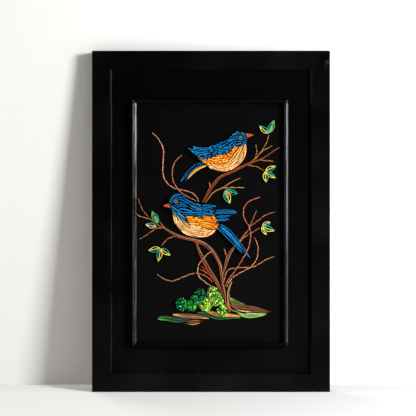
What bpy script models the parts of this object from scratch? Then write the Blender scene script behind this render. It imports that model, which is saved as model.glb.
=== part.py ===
import math

import bmesh
import bpy
from mathutils import Vector

# Sizes in metres. The front faces -Y and the origin is at the back of the top rail, where it hangs.
frame_width = 0.353
frame_height = 0.506
frame_depth = 0.020
moulding_width = 0.029
outer_chamfer = 0.001
lip_drop = 0.003
lip_run = 0.0026
rebate_lap = 0.005
gap = 0.0003
press_gap = 0.0006

mat_front = 0.014
mat_thickness = 0.003
backing_thickness = 0.003

rim_width = 0.006
rim_outer_width = 0.230
rim_outer_height = 0.366
rim_front = 0.026
rim_chamfer = 0.0006
panel_front = 0.018
picture_shift_x = -0.0011
picture_shift_z = -0.0024

# The picture is drawn in units from its own middle, and this many units fill the rim's opening.
drawn_height = 354.0

wing_height = 0.0077
flank_height = 0.0062
breast_height = 0.0050
feather_height = 0.0026
beak_height = 0.0064
leaf_height = 0.0032
lifted_base = 0.0039
twig_floor = 0.00047
strand_flatness = 0.75
branch_flatness = 0.55
band_flatness = 0.42
eye_height = 0.0013
rosette_height = 0.0088
bush_top = -80.0
strand_rings = 1
band_rings = 2
eye_steps = 10
rosette_steps = 14
curve_steps = 2
loop_reach = 12.0
leaf_steps = 6
leaf_blunt = 0.6
leaf_belly = 0.85
leaf_step_down = 0.05
dome_foot = 0.02
cutter_reach = 80.0
miter_limit = 3.0
weld_distance = 1e-6
straight_turn = 1e-4

rim_inner_height = rim_outer_height - 2 * rim_width
unit = rim_inner_height / drawn_height
middle_z = moulding_width / 2 - frame_height / 2
picture_x = picture_shift_x
picture_z = middle_z + picture_shift_z
board_width = frame_width - 2 * (moulding_width - rebate_lap + gap)
board_height = frame_height - 2 * (moulding_width - rebate_lap + gap)
mitre_back = gap / math.sqrt(2)
cut_height = 2 * wing_height

# Outlines in drawing units, x to the right and z up. A third entry marks a sharp corner.
sharp = "sharp"

lower_wing = [
    (-61, 34), (-58.5, 40), (-52, 44), (-45, 44), (-38, 40), (-30, 34.5), (-22, 30), (-14.5, 27.8),
    (-3.5, 27.4), (9.5, 24.5, sharp), (3.5, 21.5, sharp), (22, 20), (38.5, 18.5), (40.5, 16),
    (35.5, 12.5), (25, 9, sharp), (28.5, 5, sharp), (18, 2), (6.5, -2.5, sharp), (12, 3), (11, 7.5),
    (5, 10), (-5, 11), (-13, 10), (-11.5, 6.5, sharp), (-19, 8.5), (-28, 10), (-37, 11.5, sharp),
    (-32.5, -1, sharp), (-39, 4.5), (-45.5, 11), (-55.5, 18), (-60, 25.5),
]
lower_flank = [
    (-38.5, 14, sharp), (-36, 6), (-32, -2.5), (-25.5, -4.5), (-17, -5), (-8.5, -6.5),
    (-2.5, -10, sharp), (2.5, -9.5), (9, -9, sharp), (13, -2.5), (9, 8, sharp), (-0.5, 16.5), (-22.5, 16.5),
]
lower_breast = [
    (-56.5, 19.5, sharp), (-55.4, 12), (-54.5, 5), (-52, -1.5), (-46.5, -8.5), (-39.5, -15),
    (-30.5, -19), (-20.5, -21.3), (-10.5, -21.3), (-2, -19.5), (5, -15), (9.4, -9.8, sharp),
    (4, -5), (-10, -2), (-26, 1), (-36, 8), (-46, 15),
]
lower_tail = [
    (7, -8, sharp), (17.4, -14.9), (26.4, -23), (34.6, -29.8), (41.2, -37), (48.6, -46.2, sharp),
    (48, -42), (45.5, -37.6, sharp), (51.5, -44), (59.5, -53, sharp), (55.8, -44), (49.4, -34.8),
    (42.7, -25.8), (33.7, -14.9), (24.6, -5.9), (15, 0, sharp),
]
lower_beak = [(-58, 30, sharp), (-65.5, 27.7), (-70, 25.5, sharp), (-65, 23.5), (-56.5, 21.5, sharp)]
lower_eye = (-50.5, 31.5, 2.5)

upper_wing = [
    (53.5, 128.5), (51, 133), (45, 135.5), (38, 135), (33, 131.5), (26, 125), (19, 120.5), (8.5, 117.5),
    (1, 114.5), (-8, 111.5), (-17.5, 111.8), (-27, 114.5, sharp), (-22, 110.7, sharp), (-34, 111, sharp),
    (-28, 105), (-22, 99.5), (-14.5, 95.4), (-8.5, 94.7), (-2.5, 95.5), (4, 98), (9.5, 100.6), (16, 101),
    (22.5, 102), (29, 105.5), (32, 110), (36.5, 113.6), (43, 113.6), (48.5, 115), (53, 118.5), (54.5, 123.5),
]
upper_flank = [
    (-19, 99.5, sharp), (-17.5, 95), (-13, 91.8), (-7, 87, sharp), (1, 88), (8.5, 88.5), (16, 87), (24, 89),
    (27.5, 93.5), (31, 97), (33.4, 101.5), (36.8, 106.5), (41.5, 111.5), (43, 117, sharp), (29.5, 115),
    (7, 106), (-8, 101),
]
upper_breast = [
    (-5.6, 86, sharp), (-1, 82), (4.5, 79), (13, 77), (21.5, 76.2), (28.5, 77.8), (36, 81.4), (43, 86.3),
    (47.5, 91.5), (51, 97), (53, 103.5), (53.6, 111), (52.5, 120, sharp), (44, 117), (38, 111), (31, 103),
    (26, 97), (20, 93), (8, 92), (-3, 91),
]
upper_tail = [
    (-4, 92, sharp), (-16, 89.5), (-25, 84), (-33, 77), (-39.5, 69), (-45, 60, sharp), (-38, 66),
    (-31.5, 72.5, sharp), (-34.8, 66.5), (-37.5, 60.5, sharp), (-31.6, 66), (-27, 71), (-20.5, 76.5),
    (-12, 80.5), (0, 84.5, sharp),
]
upper_beak = [(51, 132.5, sharp), (59, 131.6), (64.5, 130.5, sharp), (59.5, 128), (51, 125, sharp)]
upper_eye = (44.5, 125, 2.2)

# Each strand runs root to tip, as x, z, width and, where it rises, its lift above the panel in metres.
left_branch = [
    (28.6, -132.4, 4.6), (26.2, -126.4, 4.2), (24.3, -122, 3.2), (22.9, -117, 2.6), (22.3, -110.2, 2.6),
    (21.6, -103.7, 4.0), (19.9, -97, 4.6), (18.2, -90.5, 5.2), (17.6, -84, 5.5), (17.1, -78, 5.4),
    (16.1, -71.5, 5.2), (15.3, -65, 6.4), (12.4, -57, 7.0), (6.7, -46.4, 6.6), (-0.9, -37.4, 6.4),
    (-11.2, -29.6, 6.4), (-24, -25, 6.6), (-39.4, -21.8, 6.4), (-49.4, -18.6, 5.8), (-55.4, -15.4, 4.6),
    (-60.4, -12.4, 3.8), (-67.4, -7.7, 3.0), (-72, -2.3, 2.4), (-75, 2.3, 1.7),
]
left_branch_twigs = [
    [(-65.5, -9, 2.2), (-71.9, -6.2, 2.1), (-75.2, -4.6, 2.0), (-79.3, -2.2, 1.8), (-83.4, 0.9, 1.8),
     (-86.8, 3.6, 1.9), (-92, 6.2, 2.0), (-98.5, 8.3, 1.7, 0.0036), (-105.5, 11, 1.5, 0.0080),
     (-112.5, 15, 1.0, 0.0082)],
    [(-88.6, 5.4, 1.8), (-92.3, 9.8, 1.8), (-96.4, 14.2, 1.7), (-100.5, 19.6, 1.6), (-104.5, 29, 1.5),
     (-107.3, 37, 1)],
    [(-67, -8.2, 2.4), (-73, -7.4, 2.4), (-81, -8.6, 2.3), (-90.5, -15, 2.0), (-99, -20.7, 1.8),
     (-105, -23.7, 1.2)],
    [(-49, -19, 2.4), (-59.3, -21.6, 2.2), (-66.5, -26.7, 1.9), (-70.6, -32, 1.7), (-72.2, -35, 1.3)],
]
left_stem = [
    (20.6, -112.5, 1.0), (19.8, -109.2, 1.6), (17.3, -103.7, 3.0), (14.3, -97, 4.6), (11, -90.4, 5.8),
    (6.2, -81.5, 6.3), (-0.4, -72.1, 6.5), (-5.6, -63.1, 6.4), (-10.2, -54.2, 6.2), (-14.6, -45.2, 5.6),
    (-18.4, -36, 5.0), (-21.2, -26, 4.6),
]
left_stem_twigs = [
    [(9.5, -91, 3.4), (2.6, -81, 3.4), (-3.6, -75.2, 3.2), (-12.4, -69.8, 2.8), (-15.4, -68.4, 1.8)],
    [(3.6, -77.6, 2.6), (-2.9, -72.6, 2.6), (-8, -68.4, 2.2), (-12.9, -64.2, 1.2)],
]
right_branch = [
    (18, -79, 2.4), (19.6, -72.5, 3.2), (21.6, -66, 4.6), (23.6, -58.4, 5.0), (26.2, -51, 4.8),
    (29.6, -43.8, 4.6), (34.8, -36.8, 4.6), (41.4, -29, 4.4), (47.4, -21.4, 4.0), (52.8, -14.6, 3.4),
    (56.6, -9.4, 3.0), (59, -4, 2.4), (63.5, 6.5, 2.0), (68.5, 18.3, 1.4),
]
right_branch_twigs = [
    [(57.8, -6.5, 2.0), (64.5, -1, 2.2), (72, 4.5, 2.1), (82.5, 12, 1.9), (96.8, 16.6, 1.4)],
    [(43, -28, 2.6), (52.5, -19.8, 2.6), (60, -15, 2.2), (68, -10.5, 1.9), (73.6, -7, 1.4)],
    [(23, -62, 3.4), (23.2, -57, 3.6), (23.8, -50, 3.4), (22.8, -44.6, 3.0), (20.2, -38.6, 2.0)],
]
trunk_stub = [
    (30.8, -124.6, 2.0), (29.2, -122, 3.6), (27.6, -119.4, 4.2), (26.6, -116, 4.4), (26, -110.2, 4.6),
    (26.6, -103.7, 5.0), (28.2, -96.6, 4.8), (30, -91, 4.2), (31.8, -87, 2.8),
]
s_twig = [
    (22.7, -94.2, 1.4), (23.8, -89.4, 1.8), (26.8, -84, 2.0), (32, -77, 2.1, 0.0016),
    (36, -71.5, 2.1, 0.0026), (41, -64.5, 2.1, 0.0030), (47, -54.5, 2.1, 0.0061), (52, -46, 2.1, 0.0066),
    (55.5, -38.5, 2.1, 0.0066), (57.8, -32, 2.1, 0.0055), (60, -17.5, 2.1, 0.0030),
    (59, -11, 2.1, 0.0030), (57.4, -4.5, 2.1, 0.0026), (52.6, 2.5, 2.1), (49, 12.5, 2.1),
    (50.6, 24, 2.1), (58.1, 32.3, 2.0), (67.5, 36.3, 2.0), (74.6, 38.6, 1.6),
]
long_twig = [
    (24.7, -95.2, 1.1), (26.6, -89.6, 1.8), (29.8, -84.8, 2.0), (34.2, -80, 2.1),
    (44, -73.9, 2.1, 0.0010), (54, -68.6, 2.1, 0.0024), (59.5, -65.3, 2.0, 0.0028),
    (64.5, -60, 2.0, 0.0022), (69.5, -51, 1.9), (70.5, -34.5, 1.8), (65.5, -21.5, 1.2),
]
low_right_twig = [
    (20, -88, 1.6), (21.4, -81, 1.8), (23.2, -74.6, 2.0), (26.6, -69.8, 2.2), (33.5, -67.2, 2.2),
    (44, -66.2, 2.2), (53, -66, 2.1), (63.5, -65, 2.0), (71, -61.5, 1.9), (82.5, -54.5, 1.9),
    (95, -49.5, 1.2),
]
low_left_twig = [
    (3.4, -87.6, 1.2), (0.5, -84.8, 1.6), (-6, -79.2, 1.7), (-18, -74.8, 2.0), (-27, -75.2, 2.2),
    (-35, -77.9, 2.2), (-52, -85, 2.2), (-58.5, -86, 2.1), (-69, -83, 1.9), (-79, -76, 1.2),
]
arc_twig = [
    (1.5, -94, 1.4), (-4.5, -90, 2.0), (-13.5, -83, 2.1), (-17.4, -78, 2.1, 0.0024),
    (-18.6, -70.5, 2.1, 0.0030), (-17.6, -63.5, 2.0, 0.0012), (-14, -56.5, 2.0, 0.0030),
    (-8, -49.5, 2.0, 0.0042), (-3.6, -45.6, 1.9, 0.0042), (1.8, -42, 1.4, 0.0044),
]
upper_branch = [
    (-11, 31, 3.4), (-5.8, 39.6, 4.4), (-0.8, 48.7, 5.2), (5.1, 57.4, 5.2), (11.4, 65.2, 5.0),
    (19.8, 70.7, 4.8), (28.7, 74.1, 4.5), (36.7, 77.5, 4.3), (44.8, 82, 4.1), (54, 86.6, 3.8),
    (62, 90, 3.1), (68.5, 92.2, 2.7), (76.8, 95.7, 2.2), (86.2, 100.9, 2.2), (94.5, 107.1, 2.1),
    (102.8, 111.8, 1.6),
]
upper_branch_twigs = [
    [(55, 87, 2.4), (65.4, 94.4, 2.4), (71.6, 100.9, 2.3), (75.4, 105.2, 2.1), (82, 109.4, 2.0),
     (91.4, 114, 1.4)],
    [(74, 103.2, 1.9), (78.9, 111.3, 1.9), (83.1, 118.6, 1.8), (85.7, 125.9, 1.7), (86.3, 130.6, 1.3)],
    [(65.2, 94.6, 1.8), (68, 100.9, 1.8), (68.8, 107.1, 1.9), (67.5, 116.5, 1.5)],
    [(70, 92.8, 2.0), (74.5, 93.2, 2.0), (80, 92.7, 2.3), (93.5, 91.5, 2.0)],
    [(53, 86, 1.8), (64.4, 84.5, 1.8), (71.6, 82.2, 1.7), (78.6, 78.2, 1.3)],
    [(1.2, 51, 3.2), (-0.2, 55, 3.0), (-1.9, 60, 1.6)],
]
mid_branch = [
    (-7.2, 30, 2.0), (-1.4, 38, 2.4), (3, 43.6, 2.6), (9.8, 48.2, 2.6), (17.6, 51.4, 2.6),
    (22.8, 54.4, 2.5), (28, 58.3, 2.4), (36.3, 63, 2.2), (44.6, 66.6, 1.6),
]
mid_branch_twigs = [[(16.6, 51, 1.8), (24, 52, 2.0), (34.2, 52.5, 2.2), (50.9, 52.5, 1.8)]]
outer_left_twig = [
    (-17.3, 31.6, 1.5), (-20.3, 38.1, 2.0), (-25.3, 43.4, 2.1), (-32.1, 46.4, 2.1), (-43.5, 49.3, 2.1),
    (-51.9, 51, 2.1), (-59.5, 55.2, 2.2), (-66.3, 62.4, 2.2), (-69.7, 70.8, 2.2), (-70.5, 80.6, 2.3),
    (-69.9, 92, 2.3), (-69.3, 105.7, 2.3), (-70.9, 113.3, 2.2), (-74.7, 120.9, 2.0), (-79.6, 127.8, 1.9),
    (-86.1, 133.8, 1.3),
]
inner_left_twig = [
    (-20.8, 32.6, 1.3), (-30.6, 37.5, 1.9), (-38.9, 42.2, 2.0), (-43, 45.2, 2.0, 0.0016),
    (-46.5, 48.2, 2.0, 0.0024), (-51.1, 54.8, 2.0, 0.0024), (-54.9, 62.4, 2.1), (-56.4, 69.2, 2.1),
    (-56.4, 76.8, 2.1), (-54.9, 84.4, 2.1), (-51.9, 91.3, 2.0), (-47.3, 96.2, 2.0), (-42.4, 100.4, 1.5),
]

# Leaves in groups that share a base: the base, then each leaf's tip and half width.
leaf_groups = {
    "leaves_top": ((86.2, 132.6), [(94.5, 152.5, 4.4), (72.5, 144, 4.0)]),
    "leaves_upper_right": ((81, 76.4), [(97.6, 84.3, 4.0), (97.1, 66.6, 3.7), (83.1, 59.8, 4.1)]),
    "leaves_mid": ((21.4, 48.2), [(29, 28.6, 5.3), (41, 43.2, 4.3)]),
    "leaves_right": ((76.4, -5), [(89.5, 1.5, 3.7), (95.5, -12, 4.2), (83.5, -18, 3.6)]),
    "leaf_left_upper": ((-77.4, -0.8), [(-86.4, 17.6, 4.7)]),
    "leaf_left_lower": ((-79.5, -5.2), [(-96.5, -2, 4.0)]),
    "leaves_low_left": ((-73.5, -37.6), [(-92, -41, 4.2), (-77.5, -57.5, 4.2), (-59, -48, 4.2)]),
}

# Rosettes of the bush: x, z, radius and share of the full height. A later one is pressed by an earlier.
rosettes = [
    (-42, -121, 8.5, 0.92), (-14.5, -106, 8.5, 0.92), (-28, -122, 8.2, 0.85), (-20.5, -114, 7.5, 1.0),
    (-6.5, -121, 9.5, 0.95), (4.5, -104, 9, 1.0), (12, -112.5, 8.4, 0.88), (5, -115, 7.5, 0.8),
    (18.4, -129.6, 8.0, 0.9),
]

# Ground loops, left to right, as x, z and width. Each is cut back from the loops before it.
ground_loops = {
    "ground_tan": [
        (-55.7, -136, 1.6), (-48.3, -136.4, 3.6), (-40.4, -137.4, 5.6), (-29, -137.9, 6.2),
        (-17.6, -138.7, 5.6), (-9.7, -139.9, 3.6), (-1.7, -141.8, 1),
    ],
    "ground_green": [
        (-78.2, -142.3, 1), (-74.5, -141, 5.2), (-63.1, -141.4, 7.2), (-51.7, -143.2, 8),
        (-40.4, -143.9, 5.6), (-29, -143.2, 1.2),
    ],
    "ground_brown": [
        (-42, -149.2, 1), (-36, -148.2, 4), (-29.5, -147.8, 7.2), (-24, -147.4, 8.2),
        (-17.6, -146.6, 6.2), (-9.2, -145.4, 1.4),
    ],
    "ground_orange": [
        (-5.6, -131.8, 1), (-1.7, -132.2, 2.8), (5.1, -133.7, 4.8), (11.9, -136.2, 4.2),
        (22.1, -137.2, 3.2), (30.1, -136.8, 4.2), (38.4, -137.5, 2.8), (44.9, -138.6, 1),
    ],
    "ground_dark_green": [
        (-19.4, -132.6, 1.2), (-10.8, -133.8, 3.4), (-1.7, -136.6, 4.6), (5.1, -139.2, 4.6),
        (11.9, -140.8, 4), (22.1, -140.9, 3.6), (33.5, -140.4, 2.6), (44.9, -140.8, 1),
    ],
    "ground_light_green": [
        (33.4, -127.9, 1), (38.2, -131, 1.6), (43.2, -134.2, 2.6), (49, -136.8, 4.6),
        (57.3, -137.7, 6.2), (67.6, -137, 6), (76, -136, 4), (83.4, -134.8, 1),
    ],
    "ground_root": [
        (30.6, -120.4, 3), (35, -122.6, 5.4), (45, -125.6, 8.4), (54, -127, 9.4), (63, -127.7, 8),
        (73, -129.4, 6.4), (81, -131, 4.2), (89, -132, 1.2),
    ],
    "ground_upper_green": [
        (28.6, -111.4, 2), (31, -113.4, 4.4), (34.6, -115.8, 5.6), (38.6, -117.4, 5.4), (45, -119.4, 3),
        (52, -120.8, 1),
    ],
}
trunk_neighbours = ("ground_root", "ground_upper_green")

black_wood = (0.012, 0.012, 0.014)
black_board = (0.010, 0.010, 0.012)
backing_brown = (0.30, 0.20, 0.12)
blue_paper = (0.012, 0.10, 0.36)
orange_paper = (0.80, 0.27, 0.03)
cream_paper = (0.84, 0.56, 0.26)
beak_orange = (0.55, 0.10, 0.02)
eye_dark = (0.02, 0.02, 0.015)
bark_paper = (0.14, 0.045, 0.025)
twig_paper = (0.26, 0.09, 0.045)
leaf_paper = (0.08, 0.30, 0.12)
rosette_greens = [
    (0.03, 0.20, 0.05), (0.03, 0.20, 0.05), (0.08, 0.30, 0.07), (0.12, 0.42, 0.08), (0.18, 0.50, 0.12),
    (0.34, 0.58, 0.06), (0.30, 0.55, 0.07), (0.22, 0.48, 0.08), (0.30, 0.40, 0.10),
]
ground_colours = {
    "ground_green": (0.10, 0.34, 0.08),
    "ground_tan": (0.46, 0.32, 0.18),
    "ground_brown": (0.22, 0.10, 0.05),
    "ground_dark_green": (0.03, 0.17, 0.06),
    "ground_orange": (0.62, 0.26, 0.06),
    "ground_light_green": (0.20, 0.42, 0.14),
    "ground_root": (0.24, 0.09, 0.05),
    "ground_upper_green": (0.16, 0.42, 0.08),
}

wood_roughness = 0.35
rim_roughness = 0.3
mat_roughness = 0.5
panel_roughness = 0.6
backing_roughness = 0.8
paper_roughness = 0.6
bark_roughness = 0.7
loop_roughness = 0.65
bush_roughness = 0.75
eye_roughness = 0.2


def start_clean():
    for item in list(bpy.data.objects):
        bpy.data.objects.remove(item, do_unlink=True)
    made = {}
    for name in ("quilled_wall_art", "cutters"):
        made[name] = bpy.data.collections.new(name)
        bpy.context.scene.collection.children.link(made[name])
    return made["quilled_wall_art"], made["cutters"]


def paint(name, colour, roughness):
    material = bpy.data.materials.new(name)
    material.use_nodes = True
    shader = material.node_tree.nodes["Principled BSDF"]
    shader.inputs["Base Color"].default_value = (*colour, 1.0)
    shader.inputs["Roughness"].default_value = roughness
    shader.inputs["Metallic"].default_value = 0.0
    return material


def add_piece(name, mesh, colour, roughness):
    piece = bpy.data.objects.new(name, mesh)
    parts.objects.link(piece)
    mesh.materials.clear()
    mesh.materials.append(paint(name + "_finish", colour, roughness))
    return piece


def add_cutter(name, mesh):
    cutter = bpy.data.objects.new(name, mesh)
    cutters.objects.link(cutter)
    cutter.hide_render = True
    cutter.display_type = "WIRE"
    return cutter


def curve_mesh(curve, move):
    """A closed mesh from a curve, with each point sent through move."""
    holder = bpy.data.objects.new(curve.name, curve)
    cutters.objects.link(holder)
    bpy.context.view_layer.update()
    solved = holder.evaluated_get(bpy.context.evaluated_depsgraph_get())
    mesh = bpy.data.meshes.new_from_object(solved)
    bpy.data.objects.remove(holder, do_unlink=True)
    shape = bmesh.new()
    shape.from_mesh(mesh)
    bmesh.ops.remove_doubles(shape, verts=shape.verts, dist=weld_distance)
    for vertex in shape.verts:
        vertex.co = move(vertex.co)
    shape.normal_update()
    bmesh.ops.recalc_face_normals(shape, faces=shape.faces)
    shape.to_mesh(mesh)
    shape.free()
    return mesh


def flat_curve(name, outline, half_height):
    curve = bpy.data.curves.new(name, "CURVE")
    curve.dimensions = "2D"
    curve.fill_mode = "BOTH"
    curve.extrude = half_height
    spline = curve.splines.new("POLY")
    spline.points.add(len(outline) - 1)
    for point, (x, z) in zip(spline.points, outline):
        point.co = (x, z, 0.0, 1.0)
    spline.use_cyclic_u = True
    return curve


def on_picture(x, z):
    return picture_x + x * unit, picture_z + z * unit


def rounded(outline):
    """The drawn outline with a smooth run between its sharp corners."""
    count = len(outline)
    result = []
    for index, corner in enumerate(outline):
        after = outline[(index + 1) % count]
        before = corner if len(corner) > 2 else outline[index - 1]
        beyond = after if len(after) > 2 else outline[(index + 2) % count]
        for step in range(curve_steps):
            share = step / curve_steps
            result.append(tuple(spline_value(before[axis], corner[axis], after[axis], beyond[axis], share)
                                for axis in (0, 1)))
    return result


def spline_value(before, start, end, beyond, share):
    linear = end - before
    square = 2 * before - 5 * start + 4 * end - beyond
    cube = 3 * start - before - 3 * end + beyond
    return start + 0.5 * share * (linear + share * (square + share * cube))


def grown(points, amount):
    """The closed outline moved outward by amount, with long corners cut short."""
    area = sum(a[0] * b[1] - b[0] * a[1] for a, b in zip(points, points[1:] + points[:1]))
    turn = 1.0 if area > 0 else -1.0
    result = []
    for index, (x, z) in enumerate(points):
        before = Vector((x, z)) - Vector(points[index - 1])
        after = Vector(points[(index + 1) % len(points)]) - Vector((x, z))
        first = Vector((before.y, -before.x)).normalized() * turn
        second = Vector((after.y, -after.x)).normalized() * turn
        way = first + second
        if way.length < straight_turn:
            way = before.normalized() - after.normalized()
        way.normalize()
        reach = amount / max(way.dot(first), 1.0 / miter_limit)
        result.append((x + way.x * reach, z + way.y * reach))
    return result


def standing_shape(name, points, base, height):
    """A flat shape standing on the picture panel, with base and height measured from the panel."""
    middle = panel_front + base + height / 2
    curve = flat_curve(name, points, height / 2)
    return curve_mesh(curve, lambda co: Vector((co.x, -middle - co.z, co.y)))


def drawn_points(outline):
    return [on_picture(x, z) for x, z in rounded(outline)]


def paper_shape(name, outline, height, colour, neighbours=(), base=gap):
    """A flat paper piece, cut back by the gap from the neighbours already laid."""
    points = drawn_points(outline)
    piece = add_piece(name, standing_shape(name, points, base, height), colour, paper_roughness)
    for number, neighbour in enumerate(neighbours):
        clearance = grown(drawn_points(neighbour), gap)
        mesh = standing_shape(name + "_clearance", clearance, -gap, cut_height)
        subtract(piece, add_cutter(name + "_clearance_" + str(number + 1), mesh))


def combine(piece, other, operation):
    joint = piece.modifiers.new(other.name, "BOOLEAN")
    joint.operation = operation
    joint.solver = "EXACT"
    joint.object = other


def subtract(piece, cutter):
    combine(piece, cutter, "DIFFERENCE")


def strand_mesh(name, points, flatness, rings, floor=gap):
    """A rolled strand laid along its points on the level called floor, flattened toward the panel."""
    curve = bpy.data.curves.new(name, "CURVE")
    curve.dimensions = "3D"
    curve.bevel_depth = unit
    curve.bevel_resolution = rings
    curve.use_fill_caps = True
    spline = curve.splines.new("POLY")
    spline.points.add(len(points) - 1)
    for point, place in zip(spline.points, points):
        x, z = on_picture(place[0], place[1])
        radius = place[2] / 2
        lift = place[3] if len(place) > 3 else 0.0
        rise = (floor + lift) / flatness + radius * unit
        point.co = (x, -rise, z, 1.0)
        point.radius = radius

    def settle(co):
        return Vector((co.x, -panel_front + co.y * flatness, co.z))
    return curve_mesh(curve, settle)


def smoothed(points, steps):
    result = []
    for index in range(len(points) - 1):
        before = points[max(index - 1, 0)]
        start = points[index]
        end = points[index + 1]
        beyond = points[min(index + 2, len(points) - 1)]
        for step in range(steps):
            result.append(tuple(spline_value(before[axis], start[axis], end[axis], beyond[axis], step / steps)
                                for axis in (0, 1, 2)))
    result.append(points[-1])
    return result


def cut_clear(piece, strand, flatness, space):
    """Cut the piece back from a neighbouring strand by a space in metres."""
    wider = [(point[0], point[1], point[2] + 2 * space / unit, *point[3:]) for point in strand]
    label = piece.name + "_clearance_" + str(len(piece.modifiers) + 1)
    floor = gap - space * flatness
    subtract(piece, add_cutter(label, strand_mesh(label, wider, flatness, strand_rings, floor)))


def branch(name, strand, twigs, colour, flatness=strand_flatness, neighbours=()):
    piece = add_piece(name, strand_mesh(name, strand, flatness, strand_rings), colour, bark_roughness)
    smooth_shaded(piece)
    for number, twig in enumerate(twigs):
        label = name + "_twig_" + str(number + 1)
        mesh = strand_mesh(label, twig, strand_flatness, strand_rings, twig_floor)
        combine(piece, add_cutter(label, mesh), "UNION")
    for neighbour in neighbours:
        cut_clear(piece, neighbour, branch_flatness, press_gap)


def loops_meet(first, second):
    widest = max(point[2] for point in first + second)
    return any(abs(a[0] - b[0]) < loop_reach and abs(a[1] - b[1]) < widest for a in first for b in second)


def ground_loop(name, points, colour, neighbours):
    mesh = strand_mesh(name, smoothed(points, curve_steps), band_flatness, band_rings)
    piece = add_piece(name, mesh, colour, loop_roughness)
    smooth_shaded(piece)
    for neighbour in neighbours:
        if loops_meet(points, neighbour):
            cut_clear(piece, smoothed(neighbour, curve_steps), band_flatness, press_gap)
    return piece


def leaf_outline(base, tip, half_width):
    start = Vector(base)
    run = Vector(tip[:2]) - start
    along = run.normalized()
    across = Vector((-along.y, along.x))
    right_side = []
    left_side = []
    for step in range(1, leaf_steps):
        share = step / leaf_steps
        swell = half_width * math.sin(math.pi * share ** leaf_belly)
        right_side.append(start + run * share + across * swell)
        left_side.append(start + run * share - across * swell)
    ends = [start + across * leaf_blunt, start - across * leaf_blunt]
    loop = [ends[1]] + left_side + [start + run] + right_side[::-1] + [ends[0]]
    return [on_picture(point.x, point.y) for point in loop]


def leaf_group(name, base, leaves):
    piece = None
    for number, leaf in enumerate(leaves):
        points = leaf_outline(base, leaf, leaf[2])
        height = leaf_height * (1.0 - leaf_step_down * number)
        mesh = standing_shape(name, points, gap, height)
        if piece is None:
            piece = add_piece(name, mesh, leaf_paper, paper_roughness)
        else:
            combine(piece, add_cutter(name + "_leaf_" + str(number + 1), mesh), "UNION")


def dome_mesh(name, x, z, radius, height, base, steps):
    """Half a flattened ball standing on the level called base."""
    shape = bmesh.new()
    bmesh.ops.create_uvsphere(shape, u_segments=steps, v_segments=steps // 2, radius=1.0)
    geometry = shape.verts[:] + shape.edges[:] + shape.faces[:]
    bmesh.ops.bisect_plane(shape, geom=geometry, plane_co=(0, 0, -dome_foot), plane_no=(0, 0, -1),
                           clear_outer=True)
    rim = [edge for edge in shape.edges if edge.is_boundary]
    bmesh.ops.edgeloop_fill(shape, edges=rim)
    lowest = min(vertex.co.z for vertex in shape.verts)
    for vertex in shape.verts:
        spread_x = x + vertex.co.x * radius
        spread_z = z + vertex.co.y * radius
        rise = (vertex.co.z - lowest) / (1.0 - lowest) * height
        vertex.co = (spread_x, -panel_front - base - rise, spread_z)
    shape.normal_update()
    bmesh.ops.recalc_face_normals(shape, faces=shape.faces)
    mesh = bpy.data.meshes.new(name)
    shape.to_mesh(mesh)
    shape.free()
    return mesh


def smooth_shaded(piece):
    for face in piece.data.polygons:
        face.use_smooth = True


def eye(name, place):
    x, z = on_picture(place[0], place[1])
    mesh = dome_mesh(name, x, z, place[2] * unit, eye_height, gap + wing_height + gap, eye_steps)
    smooth_shaded(add_piece(name, mesh, eye_dark, eye_roughness))


def side_piece(name, profile, width, height, side, centre, colour, roughness):
    """One mitred length of a four-sided frame, from a profile of inward distance and depth."""
    upright = side in ("left", "right")
    half = (height if upright else width) / 2
    curve = flat_curve(name, profile, half)
    reach = width / 2 if upright else height / 2

    def place(co):
        inward = co.x
        end = 1.0 if co.z > 0 else -1.0
        along = end * (half - inward - mitre_back)
        out = reach - inward
        if upright:
            x = out if side == "right" else -out
            return Vector((centre[0] + x, -co.y, centre[1] + along))
        z = out if side == "top" else -out
        return Vector((centre[0] + along, -co.y, centre[1] + z))
    add_piece(name, curve_mesh(curve, place), colour, roughness)


def board(name, width, height, back, front, centre, colour, roughness):
    shape = bmesh.new()
    bmesh.ops.create_cube(shape, size=1.0)
    for vertex in shape.verts:
        x, y, z = vertex.co
        vertex.co = (centre[0] + x * width, -(back + front) / 2 + y * (front - back), centre[1] + z * height)
    mesh = bpy.data.meshes.new(name)
    shape.to_mesh(mesh)
    shape.free()
    add_piece(name, mesh, colour, roughness)


def build_frame():
    middle = (0.0, middle_z)
    lap_side = moulding_width - rebate_lap
    rebate_front = mat_front + gap
    moulding = [
        (0.0, 0.0), (0.0, frame_depth - outer_chamfer), (outer_chamfer, frame_depth),
        (moulding_width - lip_run, frame_depth), (moulding_width, frame_depth - lip_drop),
        (moulding_width, rebate_front), (lap_side, rebate_front), (lap_side, 0.0),
    ]
    for side in ("top", "bottom", "left", "right"):
        side_piece("rail_" + side, moulding, frame_width, frame_height, side, middle, black_wood,
                   wood_roughness)
    mat_back = mat_front - mat_thickness
    backing_front = mat_back - gap
    board("mat_board", board_width, board_height, mat_back, mat_front, middle, black_board, mat_roughness)
    board("backing_board", board_width, board_height, backing_front - backing_thickness, backing_front,
          middle, backing_brown, backing_roughness)


def build_box():
    middle = (picture_x, picture_z)
    floor = mat_front + gap
    profile = [
        (0.0, floor), (0.0, rim_front - rim_chamfer), (rim_chamfer, rim_front),
        (rim_width - rim_chamfer, rim_front), (rim_width, rim_front - rim_chamfer), (rim_width, floor),
    ]
    for side in ("top", "bottom", "left", "right"):
        side_piece("rim_" + side, profile, rim_outer_width, rim_outer_height, side, middle, black_board,
                   rim_roughness)
    inner_width = rim_outer_width - 2 * rim_width - 2 * gap
    inner_height = rim_inner_height - 2 * gap
    board("art_panel", inner_width, inner_height, floor, panel_front, middle, black_board, panel_roughness)


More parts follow.
